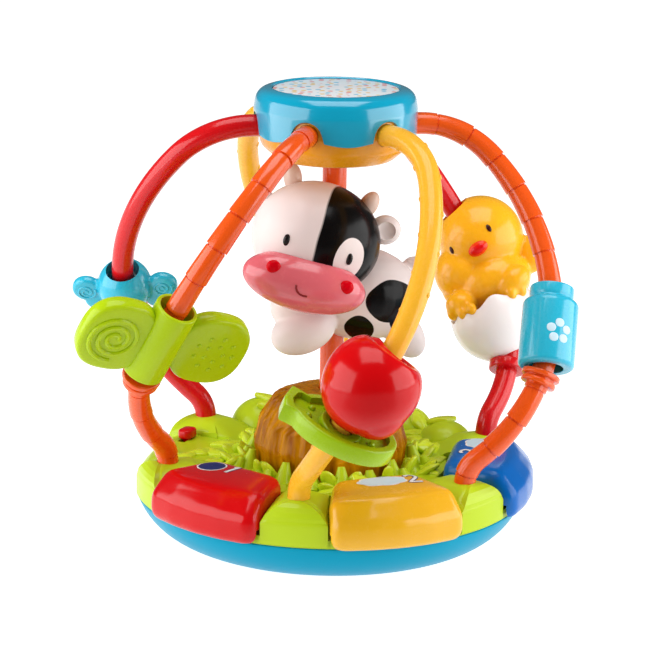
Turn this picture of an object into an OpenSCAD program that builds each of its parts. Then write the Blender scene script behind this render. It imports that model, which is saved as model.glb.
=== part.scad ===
// Baby activity ball: a round base with six bent grip tubes that meet in a cap, a cow that spins
// on the centre post, beads that slide or turn on the tubes, and three sprung piano keys.
// Millimetres. The origin is the centre of the flat underside, +Z is up and the front faces -Y.
// A bearing is an angle about +Z from the front, so bearing 90 points along +X.
// A station is a distance along a tube from its inner end in the cap.

/* [Base] */
// Radius of the base rim
rim_r = 89.5; // [80:0.5:100]
// Height of the seam between bowl and deck
seam_z = 22; // [18:0.5:26]
// Distance from the rim in to the flat underside
flat_inset = 30.5; // [26:0.5:34]
// Height of the deck's top face
deck_z = 35; // [33:0.5:38]
// Height of the tube socket tops
socket_z = 42; // [40:0.5:46]
// Wall of the mouldings
wall = 2.4; // [1.8:0.1:3]

/* [Hay dome and post] */
// Radius of the hay dome
hay_r = 35.5; // [30:0.5:38]
// Height of the hay dome's top
hay_top_z = 70; // [64:0.5:76]
// Radius of the centre post
post_r = 5.5; // [4.5:0.1:6.5]

/* [Cap] */
// Radius of the cap cover
cap_r = 37; // [34:0.5:40]
// Height of the cap's top rim above the tubes
cap_rise = 17; // [15:0.5:20]

/* [Tube route] */
// Radius of a grip tube
tube_r = 5; // [4:0.1:5.5]
// Radius at which a tube starts
start_r = 20; // [18:0.5:22]
// Bearing of the first tube's start
start_bearing = 35.5; // [30:0.5:40]
// Heading of the first straight run, past the start bearing
heading_turn = 9; // [4:0.5:14]
// Length of the straight run
run_in = 18.5; // [16:0.5:22]
// Roll before the shoulder bend
shoulder_roll = -31; // [-40:0.5:-20]
// Radius of the shoulder bend
shoulder_r = 39; // [34:0.5:44]
// Turn of the shoulder bend
shoulder_turn = 54; // [50:0.5:58]
// Radius of the long side bend
side_r = 103; // [96:0.5:110]
// Turn of the long side bend
side_turn = 54; // [50:0.5:58]
// Roll before the hip bend
hip_roll = 46; // [36:0.5:56]
// Radius of the hip bend
hip_r = 66; // [60:0.5:72]
// Turn of the hip bend
hip_turn = 53; // [48:0.5:56]
// Radius of the last bend, to straight down
ankle_r = 15; // [12:0.5:18]

/* [Keys] */
// Half the angle that a key takes up
key_half = 20; // [18:0.25:21]
// Depth of a key inside the rim
key_depth = 32.5; // [30:0.5:34]
// Distance that a key's front bulges past the rim
key_bulge = 5.5; // [3:0.5:8]
// Height of a key's top
key_top_z = 44.5; // [42:0.5:47]

/* [Beads] */
// Radius of a straight bead bore
bead_bore_r = 7.8; // [7.2:0.1:8.2]
// Radius of the apple
apple_r = 21.2; // [19:0.2:23]
// Radius of the chick's head
chick_r = 20.8; // [19:0.2:22]
// Radius of the egg shell
egg_r = 21.5; // [20:0.2:23]
// Radius of the roller
roller_r = 12.6; // [11.5:0.1:14]
// Radius of the bug's ball
bug_r = 12.9; // [12:0.1:14]

/* [Fits] */
// Gap between fixed mouldings
fit_gap = 0.15; // [0.1:0.05:0.3]
// Gap around turning and sliding parts
run_gap = 0.45; // [0.35:0.05:0.8]

/* [Hidden] */
$fn = 64;
deg = PI / 180;
tubes = [0, 1, 2, 3, 4, 5];
sixth = 60;

// Tube route
// A route frame is [point, forward, side, out].
function unit(v) = v / norm(v);
function go(f, d) = [f[0] + d * f[1], f[1], f[2], f[3]];
function roll(f, a) = [f[0], f[1], cos(a) * f[2] + sin(a) * f[3], cos(a) * f[3] - sin(a) * f[2]];
function bend(f, r, a) = [
    f[0] + r * ((cos(a) - 1) * f[3] + sin(a) * f[1]),
    cos(a) * f[1] - sin(a) * f[3],
    f[2],
    cos(a) * f[3] + sin(a) * f[1]
];
heading = start_bearing + heading_turn;
down = [0, 0, -1];
function straightened(f) = let (out = -unit(down - (f[1] * down) * f[1])) [f[0], f[1], cross(out, f[1]), out];
function down_turn(f) = acos(f[1] * down);
// Frames at the start of each run, for a tube whose inner end is at height z.
function route(z) =
    let (
        begin = [
            [start_r * sin(start_bearing), -start_r * cos(start_bearing), z],
            [sin(heading), -cos(heading), 0],
            [cos(heading), sin(heading), 0],
            [0, 0, 1]
        ],
        shoulder = roll(go(begin, run_in), shoulder_roll),
        side = bend(shoulder, shoulder_r, shoulder_turn),
        hip = roll(bend(side, side_r, side_turn), hip_roll),
        ankle = straightened(bend(hip, hip_r, hip_turn))
    )
    [begin, shoulder, side, hip, ankle, bend(ankle, ankle_r, down_turn(ankle))];
// The feet end just inside their sockets, and the cap goes where the tubes then meet.
foot_sink = 1.36;
tube_z = socket_z - foot_sink - route(0)[5][0].z;
cap_top_z = tube_z + cap_rise;
path = route(tube_z);
start = path[0];
shoulder = path[1];
side = path[2];
hip = path[3];
ankle = path[4];
foot = path[5];
ankle_turn = down_turn(ankle);
side_s = run_in + shoulder_r * shoulder_turn * deg;
hip_s = side_s + side_r * side_turn * deg;
ankle_s = hip_s + hip_r * hip_turn * deg;
foot_s = ankle_s + ankle_r * ankle_turn * deg;
function station(s) =
    s < run_in ? go(start, s)
    : s < side_s ? bend(shoulder, shoulder_r, (s - run_in) / shoulder_r / deg)
    : s < hip_s ? bend(side, side_r, (s - side_s) / side_r / deg)
    : s < ankle_s ? bend(hip, hip_r, (s - hip_s) / hip_r / deg)
    : s < foot_s ? bend(ankle, ankle_r, (s - ankle_s) / ankle_r / deg)
    : go(foot, s - foot_s);
foot_bearing = atan2(foot[0].x, -foot[0].y);
foot_r = norm([foot[0].x, foot[0].y]);
socket_floor_z = seam_z + 6;
joint_trim = 0.4;
sleeve_len = 2.4;
sleeve_step = 0.15;

// Stations of the stops and beads
bug_s = 140.5;
butterfly_s = 141.3;
butterfly_len = 37.5;
apple_s = 152;
leaf_s = 178.5;
leaf_h = 8.5;
roller_s = 143;
roller_len = 38;
chick_s = 145;
bug_stop_s = bug_s + sqrt(bug_r * bug_r - bead_bore_r * bead_bore_r) + 1.25;
butterfly_stop_s = butterfly_s + butterfly_len / 2 + 2.5;
roller_stop_s = roller_s + roller_len / 2 + 2.6;
leaf_stop_s = leaf_s + 1;
chick_stop_s = chick_s + 42.7;

// Base sizes
flat_r = rim_r - flat_inset;
bowl_arc = [rim_r - 28, seam_z + 9.5];
bowl_arc_r = 29.8;
key_in_r = rim_r - key_depth;
key_out_r = rim_r + key_bulge;
key_bearings = [for (k = [-1, 0, 1]) foot_bearing + sixth / 2 + k * sixth];
cavity_bearings = [for (k = [-2.5, -1.5, 2.5]) foot_bearing + k * sixth];
// Each hill: bearing past the front foot, distance in from the rim, radius, depth of its centre below the deck.
hill_list = [
    [-141, 20.5, 15, 2.6], [-158, 22.5, 14, 5.3], [182, 34.5, 15.5, 9.2], [159, 20.5, 12.6, 4.1], [134.5, 22.5, 14, 5.3]
];
switch_bearing = foot_bearing - 1.75 * sixth;
socket_half = sixth / 2 - key_half - 0.1;
socket_round = 16.5;
pocket_z = seam_z + 4;
pivot_r = key_in_r + 1.5;
pivot_z = pocket_z + 4.5;
pivot_half = pivot_r * sin(key_half);
pin_r = 1.6;
dome_ring_r = rim_r - 14.5;
key_round = 4.5;
screw_ring_r = rim_r - 35.5;
bay = [-28, 9, 56, 33];
cell_r = 7.1;
cell_len = 50;
dome_r = 6;
knob = [10, 7, 4.4];
switch_r = rim_r - 14.5;

// Cap sizes
dish_r = cap_r - 1.5 - fit_gap;
disc_r = cap_r - 8.45;

// Cow sizes
collar_z = tube_z - 75;
head_mid = [-8, -15, collar_z + 25.5];
head_r = 25.8;
head_half = 29.5;
head_tilt = 13;
muzzle_mid = [-12.8, -34, collar_z + 9.5];
muzzle_r = 13.4;
muzzle_half = 28.2;

// Apple and leaf sizes
// The apple's chin hangs straight down although the tube leans.
chin_turn = [0, 137.3, -50.2];
leaf_turn = [0, -9, 5];
leaf_shift = [0.7, 2.8, 0];

// Chick sizes
// The chick faces the front, so it is turned about the tube.
chick_turn = -163;
head_at = [4, -2.2, 20.5];
egg_at = [-5.5, -4.5, -18];
egg_end_z = -35.5;

// Helpers
module bearing(a) rotate([0, 0, a]) children();

// Local axes on a tube: z runs up the tube, -y points away from the bend's centre.
module on_route(f) multmatrix([
    [f[2].x, -f[3].x, -f[1].x, f[0].x],
    [f[2].y, -f[3].y, -f[1].y, f[0].y],
    [f[2].z, -f[3].z, -f[1].z, f[0].z],
    [0, 0, 0, 1]
]) children();

module on_tube(k, s) bearing(k * sixth) on_route(station(s)) children();

// Each bend stops a little short of its ends, and a sleeve covers the joint.
module arc_run(f, r, a, thick) {
    c = f[0] - r * f[3];
    trim = joint_trim / r / deg;
    multmatrix([
        [f[3].x, f[1].x, f[2].x, c.x],
        [f[3].y, f[1].y, f[2].y, c.y],
        [f[3].z, f[1].z, f[2].z, c.z],
        [0, 0, 0, 1]
    ])
        rotate([0, 0, trim]) rotate_extrude(angle = a - 2 * trim) translate([r, 0]) circle(r = thick);
}

module ring_sector(r0, r1, z0, z1, half)
    rotate([0, 0, -90 - half]) rotate_extrude(angle = 2 * half) translate([r0, z0]) square([r1 - r0, z1 - z0]);

// A lump is an ellipse turned about z; a long lump is turned about x.
module lump(r, h) rotate_extrude()
    polygon([for (i = [0:18]) let (a = -90 + 10 * i) [i == 0 || i == 18 ? 0 : r * cos(a), h * sin(a)]]);
module long_lump(r, h) rotate([0, 90, 0]) lump(r, h);

function arc_points(mid, r, from, to, steps) =
    [for (i = [0:steps]) let (a = from + (to - from) * i / steps) mid + r * [cos(a), sin(a)]];
function oval_points(half, steps) = [for (i = [0:steps - 1]) [half.x * cos(360 * i / steps), half.y * sin(360 * i / steps)]];

// Grip tubes
module tube_stick(k) bearing(k * sixth) {
    on_route(shoulder) translate([0, 0, joint_trim]) cylinder(r = tube_r, h = run_in - joint_trim);
    arc_run(shoulder, shoulder_r, shoulder_turn, tube_r);
    arc_run(side, side_r, side_turn, tube_r);
    arc_run(hip, hip_r, hip_turn, tube_r);
    arc_run(ankle, ankle_r, ankle_turn, tube_r);
    for (f = [shoulder, side, hip, ankle, foot])
        on_route(f) translate([0, 0, -sleeve_len / 2]) cylinder(r = tube_r + sleeve_step, h = sleeve_len);
    translate([foot[0].x, foot[0].y, socket_floor_z])
        cylinder(r = tube_r, h = foot[0].z - joint_trim - socket_floor_z);
}

module stop_collar(k, s, r, h) on_tube(k, s) translate([0, 0, -h]) cylinder(r = r, h = h);

module smooth_tube(k, stop_s) color("red") {
    tube_stick(k);
    stop_collar(k, stop_s, 8.8, 4.5);
}

module jointed_tube(k, stop_s) color("orangered") difference() {
    union() {
        tube_stick(k);
        stop_collar(k, stop_s, 8.8, 2.4);
        stop_collar(k, stop_s + 3.4, 8, 2.4);
        stop_collar(k, stop_s, 6.8, 5);
    }
    for (s = [26:16.3:foot_s]) if (abs(s - stop_s - 2) > 6)
        on_tube(k, s) rotate_extrude() translate([tube_r, 0]) circle(r = 0.45);
}

module pip(k, s) on_tube(k, s) rotate([0, 0, s * 20]) translate([0, -tube_r, 0]) rotate([90, 0, 0]) sphere(r = 1.2);

module dotted_tube(k) color("gold") {
    tube_stick(k);
    for (s = [28:9:118]) pip(k, s);
    for (s = [193:8:217]) pip(k, s);
}

module tube_yellow_front() color("gold") {
    dotted_tube(0);
    stop_collar(0, leaf_stop_s, 8.8, 2.4);
}
module tube_orange_right() jointed_tube(1, roller_stop_s);
module tube_red_rear() smooth_tube(2, chick_stop_s);
module tube_yellow_rear() dotted_tube(3);
module tube_red_left() smooth_tube(4, bug_stop_s);
module tube_orange_left() jointed_tube(5, butterfly_stop_s);

module tube_bores(gap) for (k = tubes) bearing(k * sixth) {
    on_route(go(start, run_in + 2)) cylinder(r = tube_r + gap, h = run_in + 2.2);
}

// Base
module screw_spots() for (k = [0, 2, 4]) bearing(foot_bearing + k * sixth) translate([0, -screw_ring_r, 0]) children();

module board_spots() for (x = [-20, 20], y = [-37, -12]) translate([x, y, 0]) children();

module base_bowl() color("deepskyblue") difference() {
    union() {
        rotate_extrude() polygon(concat(
            [[0, 0], [flat_r - 2, 0], [flat_r + 0.6, 0.6], [flat_r + 2.6, 1.75]],
            arc_points(bowl_arc, bowl_arc_r, -88, -20, 12),
            [[rim_r, seam_z], [rim_r - wall, seam_z]],
            arc_points(bowl_arc, bowl_arc_r - wall, -20, -88, 12),
            [[flat_r, wall], [0, wall]]
        ));
        screw_spots() cylinder(r = 4.6, h = seam_z);
        board_spots() translate([0, 0, 1]) cylinder(r = 2.6, h = 22.4);
        translate([0, -31, 1]) cylinder(r = 16.2, h = 5);
        translate([bay[0] - 2, bay[1] - 2, 1]) cube([bay[2] + 4, bay[3] + 4, 19]);
    }
    screw_spots() {
        translate([0, 0, -1]) cylinder(r = 3.3, h = 4.2);
        cylinder(r = 1.7, h = seam_z + 1);
    }
    translate([0, -31, wall]) cylinder(r = 14.3, h = 10);
    for (i = [0:5]) translate([0, -31, -1]) rotate([0, 0, i * 60]) translate([7.5, 0, 0]) cylinder(r = 1.6, h = 6);
    translate([bay[0], bay[1], wall]) cube([bay[2], bay[3], 15.6]);
    translate([bay[0] + 1, bay[1] + 1, -1]) cube([bay[2] - 2, bay[3] - 2, 6]);
    translate([bay[0] - 1, bay[1] - 1, -1]) cube([bay[2] + 2, bay[3] + 2, 2.8]);
}

module deck_drum() rotate_extrude() polygon(concat(
    [[post_r + fit_gap, deck_z - wall], [post_r + fit_gap, deck_z]],
    arc_points([rim_r - 11, deck_z - 11], 11, 90, 0, 8),
    [[rim_r, seam_z + 0.1], [48, seam_z + 0.1], [48, deck_z - wall]]
));

module sockets() for (k = tubes) bearing(foot_bearing + k * sixth) intersection() {
    rotate([0, 0, -90 - socket_half]) rotate_extrude(angle = 2 * socket_half) polygon(concat(
        [[rim_r - 27.5, deck_z - 4], [rim_r - 27.5, deck_z + 2], [rim_r - 22.5, socket_z - 1.2]],
        arc_points([rim_r - 8.5, socket_z - 9], 9, 90, 0, 6),
        [[rim_r + 0.5, seam_z + 0.7], [rim_r - 6, seam_z + 0.7]]
    ));
    translate([0, 0, socket_z - 0.3 - socket_round]) rotate([90, 0, 0]) cylinder(r = socket_round, h = rim_r + 10);
}

module key_pockets() for (b = key_bearings) bearing(b) {
    ring_sector(key_in_r - 3, rim_r + 20, pocket_z, 80, key_half + 0.8);
    ring_sector(key_in_r - 7, rim_r - wall, seam_z - 1, pocket_z - wall, key_half - 1);
    for (x = [-pivot_half - 4.5, pivot_half - 2]) translate([x, -pivot_r, pivot_z])
        rotate([0, 90, 0]) cylinder(r = pin_r + run_gap, h = 6.5);
}

module grass() {
    for (i = [0:17]) bearing(i * 20 + 8) translate([0, -hay_r - 4.2, deck_z - 1])
        rotate([-14, 0, 0]) cylinder(r1 = 4.4, r2 = 1.6, h = i % 2 == 0 ? 9.5 : 7);
    for (i = [0:11]) bearing(i * 30 + 20) translate([0, -hay_r - 11, deck_z - 1])
        rotate([-30, 0, 0]) cylinder(r1 = 4, r2 = 1.2, h = 7);
}

module hills() for (h = hill_list) bearing(foot_bearing + h[0])
    translate([0, -rim_r + h[1], deck_z - h[3]]) rotate([90, 0, 0]) sphere(r = h[2]);

module garden_deck() color("yellowgreen") difference() {
    union() {
        deck_drum();
        sockets();
        intersection() {
            hills();
            translate([0, 0, deck_z - 1]) cylinder(r = rim_r - 4, h = 30);
        }
        intersection() {
            grass();
            cylinder(r = key_in_r - 2, h = 60);
        }
    }
    key_pockets();
    for (b = cavity_bearings) bearing(b)
        ring_sector(46, rim_r - wall - 6.5, seam_z - 1, deck_z - wall, key_half - 1);
    for (k = tubes) bearing(foot_bearing + k * sixth)
        translate([0, -foot_r, socket_floor_z - 0.2]) cylinder(r = tube_r + fit_gap, h = 30);
    screw_spots() translate([0, 0, seam_z - 1]) cylinder(r = 1.6, h = 9);
    bearing(switch_bearing) translate([-2.2, -switch_r - 2, deck_z - 8]) cube([9, 4, 20]);
    translate([0, -18, deck_z - 8]) cylinder(r = 2.8, h = 12);
}

module hay_dome() color([0.85, 0.5, 0.05, 0.7]) difference() {
    hay_shape(0);
    hay_shape(2.2);
    translate([0, 0, hay_top_z - 20]) cylinder(r = post_r + fit_gap, h = 30);
}
module hay_shape(in) translate([0, 0, in == 0 ? deck_z + 0.1 : deck_z - 1]) rotate_extrude() polygon([
    [0, 0],
    [hay_r - in - 1, 0],
    [hay_r - in, 8],
    [hay_r - in - 1.5, 18],
    [hay_r - in - 4.5, 27 - in],
    [hay_r - in - 9, hay_top_z - deck_z - 4.6 - in],
    [hay_r - in - 16, hay_top_z - deck_z - 1.5 - in],
    [0, hay_top_z - deck_z - in]
]);

module centre_post() color("orangered") difference() {
    union() {
        translate([0, 0, seam_z + 2]) cylinder(r = post_r, h = tube_z - 3 - seam_z);
        translate([0, 0, deck_z - wall - 2.7]) cylinder(r = 11, h = 2.5);
        translate([0, 0, collar_z]) cylinder(r = post_r + 2.5, h = 3);
    }
    translate([0, 0, seam_z]) cylinder(r = 1.65, h = 14);
}

module screw(r, len) {
    cylinder(r = 3, h = 1.5);
    cylinder(r = r, h = len);
}
module base_screws() color("silver") screw_spots() translate([0, 0, 1.4]) screw(1.5, seam_z + 5);
module post_screw() color("silver") translate([0, 0, seam_z + 0.4]) screw(1.5, 13);

module battery_door() color("deepskyblue") difference() {
    union() {
        translate([bay[0] - 0.7, bay[1] - 0.7, 0.2]) cube([bay[2] + 1.4, bay[3] + 1.4, 1.4]);
        translate([bay[0] + 1.3, bay[1] + 1.3, 1]) cube([bay[2] - 2.6, bay[3] - 2.6, 1.5]);
    }
    translate([0, bay[1] + 3.5, -1]) cylinder(r = 1.3, h = 6);
    for (i = [-2:2]) translate([i * 3 - 0.5, bay[1] + bay[3] - 9, -1]) cube([1, 7, 1.8]);
}
module door_screw() color("silver") translate([0, bay[1] + 3.5, 0.3]) cylinder(r = 1.1, h = 2.1);

module cells() color("dimgray") for (i = [0, 1]) translate([0, bay[1] + 8.7 + i * 15.4, wall + 0.5 + cell_r])
    rotate([0, 90, 0]) {
        translate([0, 0, -cell_len / 2]) cylinder(r = cell_r, h = cell_len - 1.5);
        cylinder(r = 2.6, h = cell_len / 2);
    }
module cell_contacts() color("silver") for (x = [-27.2, 26.6])
    translate([x, bay[1] + 3, wall + 3]) cube([0.6, bay[3] - 6, 10]);

module circuit_board() color("green") translate([-24, -41, 23.6]) {
    difference() {
        cube([48, 33, 1.6]);
        translate([24, 41, -1]) board_spots() cylinder(r = 1.2, h = 4);
    }
    translate([18, 12, 1.5]) cube([10, 8, 1.4]);
    translate([33, 6, 1.5]) cube([4, 7, 2]);
}
module speaker() color("dimgray") translate([0, -31, wall + 0.1]) {
    cylinder(r = 14, h = 2);
    cylinder(r1 = 12.5, r2 = 7, h = 5);
    cylinder(r = 7, h = 8);
}
module lamp() color("white") translate([0, -18, deck_z - 6]) {
    cylinder(r = 2.5, h = 9);
    translate([0, 0, 9]) sphere(r = 2.5);
}
module key_domes() color("lightgray") for (b = key_bearings) bearing(b) translate([0, -dome_ring_r, pocket_z + 0.05]) {
    cylinder(r = dome_r, h = 1.2);
    cylinder(r1 = dome_r - 1, r2 = 3, h = 3);
}

module switch_body() color("dimgray") bearing(switch_bearing)
    translate([-5, -switch_r - 5, deck_z - wall - 7.1]) difference() {
        cube([15, 10, 7]);
        translate([2, 2.6, 3]) cube([10, 4.8, 6]);
    }
module switch_knob() color("red") bearing(switch_bearing) translate([0, -switch_r, 0]) {
    translate([-knob.x / 2, -knob.y / 2, deck_z + run_gap]) cube(knob);
    translate([-1.5, -1.5, deck_z - wall - 3]) cube([3, 3, wall + 4]);
}

// Keys
module key_balls(r, drop) {
    for (i = [-2:2]) {
        place = key_half - asin(key_round / key_out_r) - 0.1;
        rotate([0, 0, i / 2 * place]) {
            translate([0, -key_out_r + key_round, pocket_z + 0.5 - drop]) sphere(r = r, $fn = 24);
            translate([0, -key_out_r + key_round + 0.3, pocket_z + 4]) sphere(r = r, $fn = 24);
            translate([0, -key_out_r + 10.5, key_top_z - 0.7 - key_round]) sphere(r = r, $fn = 24);
        }
    }
    for (i = [-1:1]) rotate([0, 0, i * (key_half - asin(key_round / key_in_r))]) {
        translate([0, -key_in_r - key_round, key_top_z - key_round]) sphere(r = r, $fn = 24);
        translate([0, -key_in_r - key_round, pocket_z + 5 - drop]) sphere(r = r, $fn = 24);
    }
}
module key(b) bearing(b) {
    difference() {
        hull() key_balls(key_round, 0);
        hull() key_balls(key_round - wall, 14);
        ring_sector(40, rim_r + 1.8, 0, pocket_z + 2.7, 40);
    }
    translate([0, -dome_ring_r, pocket_z + 5.4]) cylinder(r = 2.4, h = key_top_z - pocket_z - 7);
    for (x = [-pivot_half - 3.2, pivot_half - 2.6]) translate([x, -pivot_r, pivot_z]) rotate([0, 90, 0]) cylinder(r = pin_r, h = 5.8);
}
module key_red() color("red") key(key_bearings[0]);
module key_yellow() color("gold") key(key_bearings[1]);
module key_blue() color("royalblue") key(key_bearings[2]);

// Cap
module cap_cover() color("deepskyblue") difference() {
    union() {
        rotate_extrude() polygon(concat(
            [[0, cap_top_z - 4.6], [0, cap_top_z - 2.2], [disc_r + 0.25, cap_top_z - 2.2], [disc_r + 0.25, cap_top_z - 0.4], [cap_r - 7, cap_top_z]],
            arc_points([cap_r - 7.5, cap_top_z - 9.6], 8.6, 78, 29, 5),
            [[cap_r, cap_top_z - 12], [cap_r - 0.2, tube_z], [cap_r - 1, tube_z - 4.2], [cap_r - 1.5, tube_z - 4.2]],
            [[cap_r - 1.5, cap_top_z - 11], [cap_r - 4.5, cap_top_z - 5.4], [cap_r - 8, cap_top_z - 4.6]]
        ));
        cap_screw_spots() translate([0, 0, tube_z - 8]) cylinder(r = 3.3, h = 21);
    }
    for (k = tubes) bearing(start_bearing + 4 + k * sixth) translate([0, 0, tube_z - 9.2])
        rotate([90, 0, 0]) translate([0, 0, cap_r - 12]) cylinder(r = 14.9, h = 30);
    cap_screw_spots() translate([0, 0, tube_z - 9]) cylinder(r = 1.6, h = 13);
}
module cap_screw_spots() for (k = [0:2]) bearing(start_bearing + 30 + k * 120) translate([0, -13.4, 0]) children();

module cap_disc() color("white") translate([0, 0, cap_top_z - 2.15]) cylinder(r = disc_r, h = 1.3);

module cap_dish() color("gold") difference() {
    union() {
        rotate_extrude() polygon([
            [post_r + fit_gap, tube_z - 15.4], [dish_r - 9.35, tube_z - 15.4], [dish_r - 4.85, tube_z - 13], [dish_r - 1.75, tube_z - 9],
            [dish_r, tube_z - 3], [dish_r, tube_z + 6], [dish_r - wall, tube_z + 6],
            [dish_r - wall, tube_z - 3], [dish_r - 4.35, tube_z - 8], [dish_r - 6.85, tube_z - 11], [dish_r - 10.35, tube_z - 13],
            [9, tube_z - 13], [9, tube_z - 1], [post_r + fit_gap, tube_z - 1]
        ]);
        rotate_extrude() translate([18, tube_z - 14]) square([6, 14]);
    }
    tube_bores(fit_gap);
    cap_screw_spots() {
        translate([0, 0, tube_z - 16]) cylinder(r = 3.3, h = 2.3);
        translate([0, 0, tube_z - 16]) cylinder(r = 1.7, h = 6);
    }
}
module cap_screws() color("silver") cap_screw_spots() translate([0, 0, tube_z - 15.3]) screw(1.5, 17);

// Cow
module cow_bore() {
    translate([0, 0, collar_z - 58]) cylinder(r = post_r + run_gap, h = 140);
    translate([0, 0, collar_z - run_gap]) cylinder(r = post_r + 2.5 + run_gap, h = 3 + 2 * run_gap);
}
module head_form(grow) translate(head_mid) rotate([0, head_tilt, 0]) long_lump(head_r + grow, head_half + grow);

module muzzle_form(grow) translate(muzzle_mid) rotate([0, head_tilt, 0]) long_lump(muzzle_r + grow, muzzle_half + grow);

module cow_body() color("white") difference() {
    union() {
        translate([12, 1, collar_z - 3]) rotate([0, 8, 0]) long_lump(22, 29);
        translate([-13, -16, collar_z - 17]) rotate([0, -24, 0]) long_lump(11, 16);
        translate([-17, -10, collar_z - 7]) sphere(r = 12);
        translate([33, -3, collar_z - 21]) rotate([0, -35, 0]) lump(8.5, 13);
        translate([38, 10, collar_z + 9]) long_lump(3.6, 6);
    }
    head_form(fit_gap);
    muzzle_form(fit_gap);
    cow_bore();
}
module cow_head() color("white") difference() {
    union() {
        head_form(0);
        translate(head_mid) rotate([0, head_tilt, 0]) {
            for (side = [-1, 1]) {
                translate([16.5 * side, 5, 23.6]) rotate([0, 18 * side, 0]) lump(4.2, 6.8);
                translate([29.5 * side, 4, 10]) rotate([90, 0, 0]) lump(7, 4);
            }
        }
    }
    cow_bore();
}
module cow_muzzle() color("pink") difference() {
    muzzle_form(0);
    head_form(fit_gap);
}

// Beads
// A curved bore follows the side bend, so a bead keeps its gap all along it.
module side_bore(r, up, low) multmatrix([[0, 0, -1, 0], [-1, 0, 0, side_r], [0, 1, 0, 0], [0, 0, 0, 1]])
    rotate([0, 0, -low / side_r / deg])
        rotate_extrude(angle = (up + low) / side_r / deg) translate([side_r, 0]) circle(r = r);

module butterfly() color("yellowgreen") on_tube(5, butterfly_s) translate([0, 0.9, 0]) rotate([0, 0, 41]) difference() {
    union() {
        cylinder(r = bead_bore_r + 1.8, h = butterfly_len, center = true);
        for (x = [-20.5, 23.5]) translate([x, 0, x < 0 ? -1 : 1]) rotate([90, 0, 0])
            linear_extrude(height = 8, center = true) polygon(oval_points([17, 18.5], 40));
        for (r = [4, 8, 12]) translate([-22, -4, -1]) rotate([90, 0, 0]) rotate_extrude() translate([r, 0]) circle(r = 0.7);
        for (i = [0:6]) translate([25 + 8 * cos(i * 51), -4, 1 + 8 * sin(i * 51)]) rotate([90, 0, 0]) sphere(r = 1.1);
    }
    cylinder(r = bead_bore_r, h = 60, center = true);
}

module bug() color("deepskyblue") on_tube(4, bug_s) translate([0, 0.4, 0]) rotate([0, 0, 74]) difference() {
    union() {
        sphere(r = bug_r);
        for (side = [-1, 1]) rotate([90, 0, 0]) linear_extrude(height = 5, center = true) {
            translate([18.2 * side, 1.7 * side - 0.7]) circle(r = 7);
            translate([14.5 * side, side - 8.5]) circle(r = 5.5);
        }
    }
    cylinder(r = bead_bore_r, h = 60, center = true);
}

module apple() color("red") on_tube(0, apple_s) difference() {
    union() {
        rotate_extrude() polygon(concat(
            [[0, 12], [9, 13]],
            arc_points([12.6, 14.6], 4, 200, 60, 6),
            arc_points([0, 0], apple_r, 48, -70, 16),
            [[0, -apple_r * sin(70)]]
        ));
        rotate(chin_turn) lump(apple_r - 4.5, apple_r + 3);
    }
    difference() {
        sphere(r = apple_r - 3);
        translate([0, 0, 30]) cylinder(r = 40, h = 40, center = true);
    }
    translate([0, 1.1, 0]) cylinder(r = bead_bore_r, h = 40);
    translate([1.1, 2.05, -40]) cylinder(r = bead_bore_r - 0.9, h = 40);
}

module leaf_plan(in) polygon(concat(
    [for (i = [0:30]) let (a = -150 + 300 * i / 30) [(24 - in) * cos(a) + 1, (17 - in) * sin(a)]],
    [[-23 + in / 2, 9 - in / 2], [-28 + in, 9.5 - in], [-29 + in, 0], [-27 + in, -8 + in], [-23 + in / 2, -8 + in / 2]]
));
module leaf_ring() color("yellowgreen") on_tube(0, leaf_s) difference() {
    union() {
        rotate(leaf_turn) translate(leaf_shift) difference() {
            translate([0, 0, -leaf_h / 2]) linear_extrude(height = leaf_h) leaf_plan(0);
            translate([0, 0, leaf_h / 2 - 3]) linear_extrude(height = 6) leaf_plan(3.6);
        }
        rotate(leaf_turn) translate(leaf_shift) for (x = [-12, 12], y = [-6, 0, 6])
            translate([x, y, 1]) rotate([90, 0, 0]) sphere(r = 2);
        translate([0, 0, -3]) cylinder(r = bead_bore_r + 2, h = 6.6);
    }
    cylinder(r = bead_bore_r, h = 40, center = true);
    translate([0, 0, -20 - 0.6]) cylinder(r = 8.8 + run_gap, h = 20);
}

module roller() color("deepskyblue") on_tube(1, roller_s) translate([0, 0.9, 0]) difference() {
    rotate_extrude() polygon(concat(
        [[bead_bore_r, -roller_len / 2], [roller_r - 2, -roller_len / 2]],
        arc_points([roller_r - 2, 2 - roller_len / 2], 2, -60, 0, 3),
        arc_points([roller_r - 3, roller_len / 2 - 10], 3, 0, 70, 4),
        [[9.3, roller_len / 2 - 6], [9.9, roller_len / 2 - 4.6], [9.9, roller_len / 2 - 1], [9.2, roller_len / 2]],
        [[bead_bore_r, roller_len / 2]]
    ));
    translate([0, 0, -roller_len / 2 - 1]) cylinder(r1 = 10, r2 = bead_bore_r, h = 4);
}

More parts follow.
